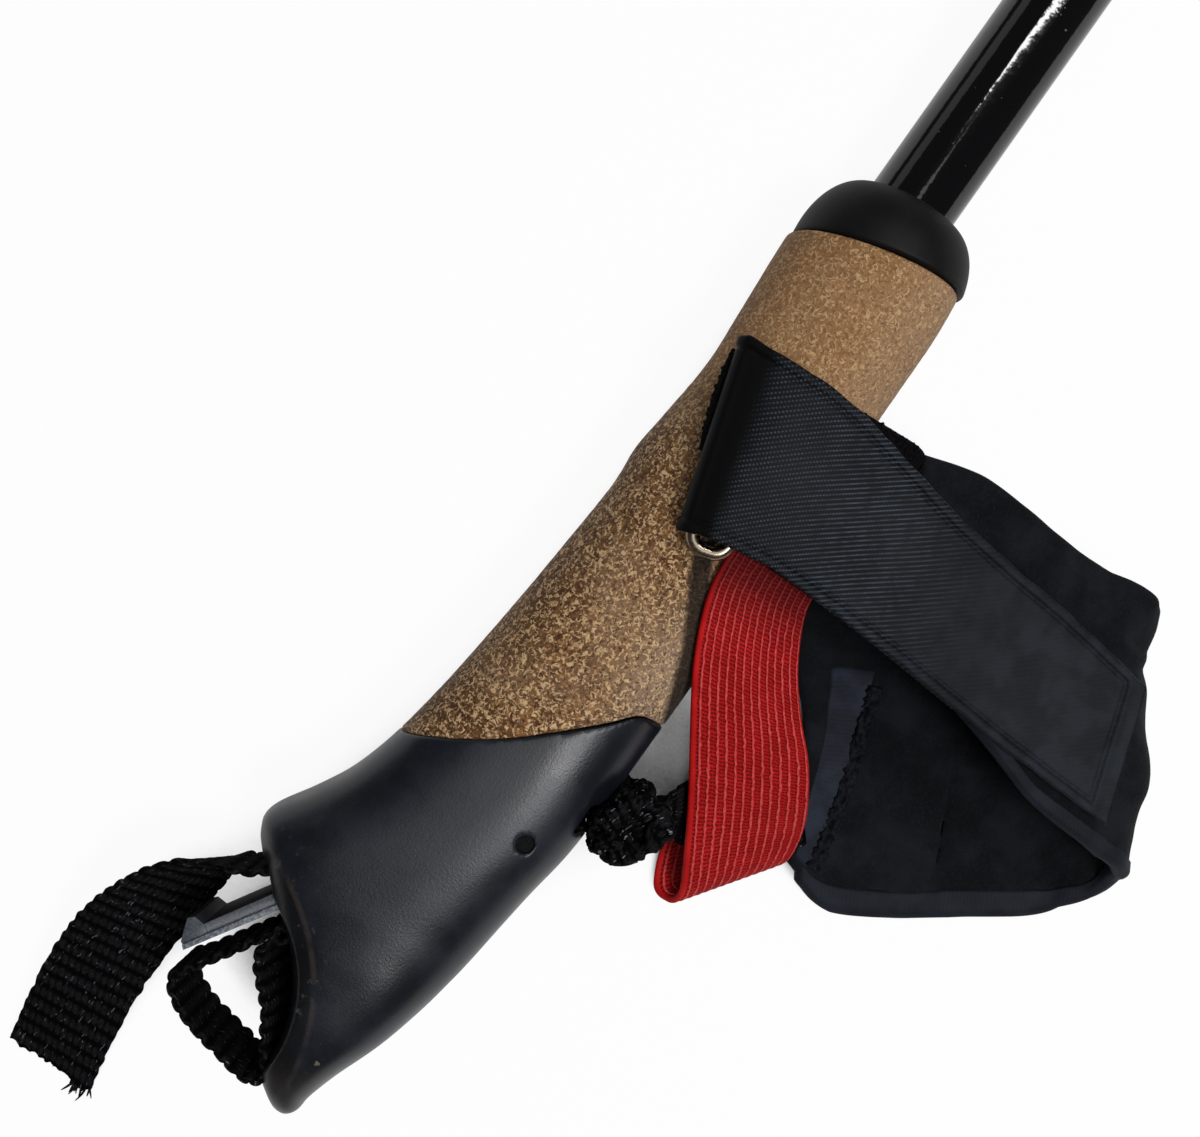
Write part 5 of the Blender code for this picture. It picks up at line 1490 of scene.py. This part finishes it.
def ribbon_round(name, edge, inward, normals, outside, inside, stands_for):
    """A ribbon folded over an edge of the cuff. Its reach outside and inside is given for each row."""
    columns = 14
    share = np.linspace(0, 1, columns + 1)
    reach = -outside[:, None] * (1 - share[None, :]) + inside[:, None] * share[None, :]
    grid = edge[:, None] + inward[:, None] * reach[..., None]
    run = np.concatenate([[0], np.cumsum(np.linalg.norm(np.diff(edge, axis=0), axis=1))])
    covered = (reach + outside[:, None]) / (outside + inside)[:, None]
    half = (CUFF_THICKNESS / 2 + 0.35 * MM) * np.sqrt(1 - (1 - np.clip(covered / 0.45, 0.06, 1)) ** 2)
    half = np.where(share[None, :] > 0.97, half - 0.45 * MM, half)
    lasts = np.clip(np.minimum(run, run[-1] - run) / (1.2 * MM), 0.3, 1)[:, None]
    stacked = np.repeat(normals[:, None], columns + 1, axis=1)
    points, faces = shell(grid, stacked, half * lasts, half * lasts)
    x = np.repeat(run[:, None], columns + 1, axis=1)
    places = np.stack([x, reach, np.ones_like(x)], -1).reshape(-1, 3)
    places = np.concatenate([places, places])
    piece(name, points, faces, RIBBON, "strap", stands_for, places)


def make_bindings():
    """Ribbon folded over the cuff's thumb edge and wrist edge, and laid on it beside the thumb loop."""
    grid, normals, run, _, _ = cuff_surface()
    full = len(run)
    for name, node, at, step, first, last in (
        ("thumb_edge_ribbon", "cuff_binding_hand", 0, 1, 0.02, 0.985),
        ("wrist_edge_ribbon", "cuff_binding_wrist", -1, -1, 0.10, 0.52),
    ):
        rows = slice(int(first * full), int(last * full))
        edge = grid[rows, at]
        inward = unit(grid[rows, at + 6 * step] - edge)
        outside = BINDING_OUTSIDE * np.clip((run[rows] - run[rows][0]) / (9 * MM), 0.25, 1) ** 0.5
        outside = outside * (1 - 0.55 * np.exp(-(((run[rows] - CUFF_TURN_RUN) / (11 * MM)) ** 2)))
        outside = outside * (1 - 0.55 * np.clip((run[rows] - CUFF_TURN_RUN) / (12 * MM), 0, 1))
        outside = outside * (1 if step > 0 else 0.3)
        inside = np.full(len(edge), (2.4 if step > 0 else 1.4) * MM)
        ribbon_round(name, edge, inward, normals[rows, at + 2 * step], outside, inside, [node])
    make_side_ribbon(grid, normals, run[1])


def on_cuff(grid, columns, reach, step):
    """Points of the cuff's grid at distances from its first row."""
    low = (reach / step).astype(int)
    part = (reach / step - low)[..., None]
    return grid[low, columns] * (1 - part) + grid[low + 1, columns] * part


def make_side_ribbon(grid, normals, step):
    """The ribbon laid on the cuff beside the thumb loop, and the lumpy seam along its inner edge."""
    columns = np.arange(3, int(0.55 * grid.shape[1]))[:, None]
    rising = np.linspace(0, 1, len(columns))[:, None]
    inset = (0.8 + 5.0 * rising**1.2) * MM
    inside = (3.8 + 10.2 * rising**0.65) * MM
    share = np.linspace(0, 1, 25)[None, :]
    reach = inset * (1 - share) + inside * share
    laid = on_cuff(grid, columns, reach, step)
    upright = on_cuff(normals, columns, reach, step)
    upright = unit(upright * np.sign(upright[..., 2:].mean()))
    from_edge = np.minimum(np.minimum(share, 1 - share) * (inside - inset), 0.8 * MM) / (0.8 * MM)
    from_end = np.clip(np.minimum(rising, 1 - rising) / 0.04, 0, 1)
    rounded = np.sqrt(1 - (1 - from_edge * from_end) ** 2)
    upper = CUFF_THICKNESS / 2 + (0.45 * rounded - 0.10) * MM
    points, faces = shell(laid, upright, upper, 0 * upper - CUFF_THICKNESS / 4)
    x = np.cumsum(np.full(reach.shape, 0.7 * MM), axis=0)
    places = np.stack([x, reach, np.ones_like(x)], -1).reshape(-1, 3)
    places = np.concatenate([places, places])
    piece("side_edge_ribbon", points, faces, SIDE_RIBBON, "strap", [], places)
    lift = upright[:, -1] * 1.7 * MM
    first = on_cuff(grid, columns, inside - 0.9 * MM, step)[:, 0] + lift
    last = on_cuff(grid, columns, inside + 2.2 * MM, step)[:, 0] + lift
    seam = [[a, b] for a, b in zip(first[1:-1:4], last[1:-1:4])]
    strip(
        "side_seam", seam, 1.4 * MM, 0.30 * MM, 16, SEAM, "strap", "edge_binding", [],
        relief=lumpy, wave=ragged_edge,
    )


def fuzzy(x, y, width, length):
    """The uneven height of a napped pile."""
    return uneven(x / (0.55 * MM), y / (0.55 * MM), 0.3) * 0.45 * MM


def lumpy(x, y, width, length):
    """The lumps of an overcast seam."""
    return uneven(x / (1.5 * MM), y / (1.1 * MM), 5.3) * 1.1 * MM


def ragged_edge(x, y):
    """A cut edge of pile, uneven by half a millimetre."""
    return uneven(x / (0.9 * MM), 7.1, 0) * 0.8 * MM


def hem_wave(x, y):
    return 0.15 * MM * np.sin(x / (5.1 * MM)) * np.sin(x / (1.7 * MM))


def band_waves(x, y):
    """The band isn't quite flat: it has slow waves."""
    waves = uneven(x / (17 * MM), y / (13 * MM), 1.7)
    return waves * 0.45 * MM * np.clip((x - 8 * MM) / (10 * MM), 0, 1)


def band_rows():
    return [[np.array(b), np.array(a)] for a, b in zip(BAND_TOP_EDGE, BAND_BOTTOM_EDGE)]


def band_shape(x, y, width, length):
    """Both edges and the far end of the band are turned in and sewn, with a groove along each seam."""
    hem = np.where(x > length / 2, np.maximum(length - x - 2.2 * MM, 0), 1.0)
    inset = np.minimum(width / 2 - np.abs(y), hem)
    groove = -0.34 * np.exp(-(((inset - 2.3 * MM) / (0.36 * MM)) ** 2))
    stitch = 0.5 + 0.5 * np.cos(math.tau * (x + y) / (2.2 * MM))
    raised = 0.25 * np.clip((2.3 * MM - inset) / (0.8 * MM), 0, 1)
    thread = np.exp(-(((inset - 2.3 * MM) / (0.22 * MM)) ** 2)) * stitch * 0.16
    pucker = 0.06 * np.sin(math.tau * x / (4.4 * MM)) * np.clip(1 - inset / (5 * MM), 0, 1)
    return (groove + raised + thread + pucker) * MM


def make_band():
    rows = ring_curl(FOLD_DEGREES, FOLD_FROM, FOLD_TO) + band_rows()
    flap = strip(
        "closing_band", rows, BAND_THICKNESS, 0.36 * MM, 110, TWILL, "flap", "band_twill", ["band_flap"],
        relief=band_shape, round_edge=0.6 * MM, bend=band_waves, wave=hem_wave,
    )
    drop = UP * ((BAND_THICKNESS + 0.0010) / 2 + GLUE_GAP)
    rows = []
    for b, a in band_rows()[4:7]:
        rows.append([b + (a - b) * 0.1 - drop, a + (b - a) * 0.1 - drop])
    strip("hook_patch", rows, 0.0010, 0.8 * MM, 30, HOOKS, "flap", "hook_and_loop", ["hook_tape"])
    curl = RING_WIRE_RADIUS + SLIDE_GAP + BAND_THICKNESS
    rows = []
    for along, out in FOLD_PILE:
        inner = ring_frame_point(along, -curl + 0.5 * MM, -1.0 * MM)
        rows.append([inner, ring_frame_point(along, -curl - out, -1.6 * MM)])
    strip(
        "fold_pile", rows, 1.2 * MM, 0.35 * MM, 10, PILE, "flap", "hook_and_loop", [], relief=fuzzy,
        wave=ragged_edge,
    )
    places = smooth_rows(band_rows(), 20)
    rows = []
    for at, out in UNDER_BAND_REACH:
        b, a = places[int(20 * at)]
        rows.append([b - UP * 0.004, a - UP * 0.004 + np.array((out, 0, 0))])
    under = strip(
        "under_band", rows, BAND_THICKNESS, 0.6 * MM, 60, TWILL, "strap", "band_twill", ["band_under"]
    )
    lift = UP * ((BAND_THICKNESS + 0.0008) / 2 + GLUE_GAP)
    pile = [[b + (a - b) * 0.02 + lift, a + (b - a) * 0.01 + lift] for b, a in rows]
    strip(
        "loop_patch", pile, 0.0013, 0.35 * MM, 100, PILE, "strap", "hook_and_loop", ["loop_tape"],
        relief=fuzzy, wave=ragged_edge,
    )


def make_tab():
    rows = ring_curl(TAB_DEGREES, TAB_FROM - TAB_EXTRA, TAB_TO, 2 * RING_HALF_WIDTH)
    for x1, y1, x2, y2, z in TAB_COURSE:
        rows.append([np.array((x1, y1, z)), np.array((x2, y2, z))])
    edge = CAD_CUFF_EDGE - GLUE_GAP - BAND_THICKNESS / 2
    rows.append([cuff_point(TAB_END[0], edge, TAB_END[2]), cuff_point(TAB_END[1], edge, TAB_END[2])])
    strip(
        "ring_strap", rows, 0.9 * MM, 0.4 * MM, 70, WEBBING, "strap", "webbing", ["ring_tab"],
        weave=webbing_weave, depth=0.25 * MM, shift=ROW_PITCH / 2,
    )


def elastic_ribs(x, y, width, length):
    """Cords stand a little out of the elastic, and a groove runs beside its plain border."""
    at = (y - ELASTIC_FIRST_CORD) / ELASTIC_CORD_GAP
    from_cord = at - np.round(at)
    woven = (y > ELASTIC_FIRST_CORD - 0.4 * MM) & (y < ELASTIC_LAST_CORD + 0.4 * MM)
    cords = 0.09 * np.exp(-((from_cord / 0.14) ** 2)) * woven
    groove = -0.10 * np.exp(-(((y - ELASTIC_FIRST_CORD + 0.5 * MM) / (0.3 * MM)) ** 2))
    return (cords + groove - 0.02) * MM


def make_elastic():
    rows = [[np.array(row[:3]), np.array(row[3:])] for row in ELASTIC_COURSE]
    strip(
        "thumb_elastic", rows, ELASTIC_THICKNESS, 0.4 * MM, 120, ELASTIC, "strap", "red_elastic",
        ["elastic_loop"], relief=elastic_ribs, round_edge=0.8 * MM, drawn=ELASTIC_WIDTH,
    )


def make_ring():
    """The wire ring: a rounded rectangle of nickel-plated wire."""
    long = RING_HALF_LENGTH - RING_CORNER
    wide = RING_HALF_WIDTH - RING_CORNER
    corners = ((long, wide, 0), (-long, wide, 90), (-long, -wide, 180), (long, -wide, 270))
    path = []
    for x, y, first in corners:
        path += arc((x, y), RING_CORNER, first, first + 90, 12)
    path = np.array(path)
    around = 20
    ahead = unit(np.roll(path, -1, axis=0) - np.roll(path, 1, axis=0))
    out = np.stack([ahead[:, 1], -ahead[:, 0]], -1)
    turn = turned(RING_ANGLE)
    points = []
    for spot, side in zip(path, out):
        for t in np.arange(around) / around * math.tau:
            flat = turn @ (spot + side * RING_WIRE_RADIUS * math.cos(t))
            points.append((*(RING_CENTRE[:2] + flat), RING_CENTRE[2] + RING_WIRE_RADIUS * math.sin(t)))
    piece("wire_ring", points, tube(len(path), around, "joined"), NICKEL, "ring", ["ring"])


# Nodes that keep their CAD shape

SHARP_DEGREES = 35


def smoothed_node(node, look):
    """Better looks for a CAD node: welded and shaded smooth across its facets, with its own material."""
    obj = NODES[node]
    weld = obj.modifiers.new("weld", "WELD")
    weld.merge_threshold = 0.01 * MM
    group = bpy.data.node_groups.get("shade_smooth_by_angle") or smooth_group()
    smooth = obj.modifiers.new("smooth", "NODES")
    smooth.node_group = group
    for held in obj.material_slots:
        held.material = look


def smooth_group():
    group = bpy.data.node_groups.new("shade_smooth_by_angle", "GeometryNodeTree")
    group.interface.new_socket("Geometry", in_out="INPUT", socket_type="NodeSocketGeometry")
    group.interface.new_socket("Geometry", in_out="OUTPUT", socket_type="NodeSocketGeometry")
    first = group.nodes.new("NodeGroupInput")
    drop = group.nodes.new("GeometryNodeRemoveAttribute")
    drop.inputs["Name"].default_value = "custom_normal"
    faces = group.nodes.new("GeometryNodeSetShadeSmooth")
    angle = group.nodes.new("GeometryNodeInputMeshEdgeAngle")
    sharp = group.nodes.new("FunctionNodeCompare")
    sharp.inputs[1].default_value = math.radians(SHARP_DEGREES)
    edges = group.nodes.new("GeometryNodeSetShadeSmooth")
    edges.domain = "EDGE"
    edges.inputs["Shade Smooth"].default_value = False
    last = group.nodes.new("NodeGroupOutput")
    link = group.links.new
    link(first.outputs[0], drop.inputs[0])
    link(drop.outputs[0], faces.inputs[0])
    link(faces.outputs[0], edges.inputs[0])
    link(angle.outputs[0], sharp.inputs[0])
    link(sharp.outputs[0], edges.inputs[1])
    link(edges.outputs[0], last.inputs[0])
    return group


def dress_nodes():
    for node, look in (
        ("shaft", LACQUER),
        ("grip_core", NYLON),
        ("strap_pin", DARK_PIN_STEEL),
        ("carbide_tip", HARD_METAL),
        ("pad_washer", STEEL),
        ("tip_ferrule", NYLON),
        ("rubber_pad", RUBBER),
    ):
        smoothed_node(node, look)


# Room

FLOOR_REACH = 6
FLOOR_GLOW = 0.94
MIRRORED_FLOOR = 0.3
ROOM_LIGHT = 0.08


def make_room():
    """A pale floor, with painted shade where the object closes it in, and plain soft light."""
    mesh = bpy.data.meshes.new("floor")
    corners = [(x * FLOOR_REACH, y * FLOOR_REACH, 0) for x, y in ((-1, -1), (1, -1), (1, 1), (-1, 1))]
    mesh.from_pydata(corners, [], [(0, 1, 2, 3)])
    floor = bpy.data.objects.new("floor", mesh)
    bpy.context.scene.collection.objects.link(floor)
    made, add = start("pale_floor", "#f4f4f4", 0.9, Specular_IOR_Level=0.1)
    glow = add("Emission", "#ffffff", 1.0)
    rays = add("LightPath").node.outputs
    mirrored = add("Math MULTIPLY", rays["Is Glossy Ray"], MIRRORED_FLOOR)
    seen = add("Math MAXIMUM", rays["Is Camera Ray"], mirrored)
    seen = add("Math MAXIMUM", seen, rays["Is Transmission Ray"])
    # Painted shade: where the object closes the floor in, its glow fades and its colour darkens.
    closed_in = add("AmbientOcclusion", "#ffffff", 30 * MM, out="AO", samples=16)
    bare = add("MapRange", closed_in, 0.18, 0.54, 0.0, FLOOR_GLOW, **EASED)
    shade = add("Mix", add("MapRange", closed_in, 0.08, 0.36, **EASED), "#3c3936", "#f4f4f4", **COLOURS)
    tree = dress(made, {"Base_Color": shade})
    painted = tree.nodes["Principled BSDF"].outputs[0]
    mixed = add("MixShader", add("Math MULTIPLY", seen, bare), painted, glow)
    fill(tree, tree.nodes["Material Output"].inputs["Surface"], mixed)
    mesh.materials.append(made)
    world = bpy.data.worlds.new("room")
    world.use_nodes = True
    world.node_tree.nodes["Background"].inputs["Color"].default_value = (1, 1, 1, 1)
    world.node_tree.nodes["Background"].inputs["Strength"].default_value = ROOM_LIGHT
    bpy.context.scene.world = world
    for name, spot, aim, turn, size, power in (
        ("ceiling_lamp", (-0.40, -0.05, 1.50), (-0.45, 0.0, 0.0), 0, (1.0, 0.8), 3.6),
        ("window", (-0.48, -0.60, 1.32), (-0.45, 0.0, 0.0), 0, (0.45, 0.40), 11.2),
        ("strip_lamp", (0.22, -0.085, 1.05), (-0.3, 0.0, 0.0), 26, (0.60, 0.07), 3.2),
        ("far_window", (0.35, 1.30, 0.55), (-0.3, 0.0, 0.0), 0, (0.8, 0.5), 0.6),
    ):
        data = bpy.data.lights.new(name, "AREA")
        data.shape = "RECTANGLE"
        data.size, data.size_y = size
        data.energy = power
        lamp = bpy.data.objects.new(name, data)
        pointing = (Vector(aim) - Vector(spot)).to_track_quat("-Z", "Y").to_matrix().to_4x4()
        lamp.matrix_world = (
            Matrix.Translation(spot) @ Matrix.Rotation(math.radians(turn), 4, "Z") @ pointing
        )
        lamp.visible_camera = False
        bpy.context.scene.collection.objects.link(lamp)
    bpy.context.scene.view_settings.view_transform = "Standard"


make_cork()
make_collar()
make_head()
make_webbing()
make_wedge()
make_cuff()
make_bindings()
make_band()
make_tab()
make_elastic()
make_ring()
dress_nodes()
make_room()
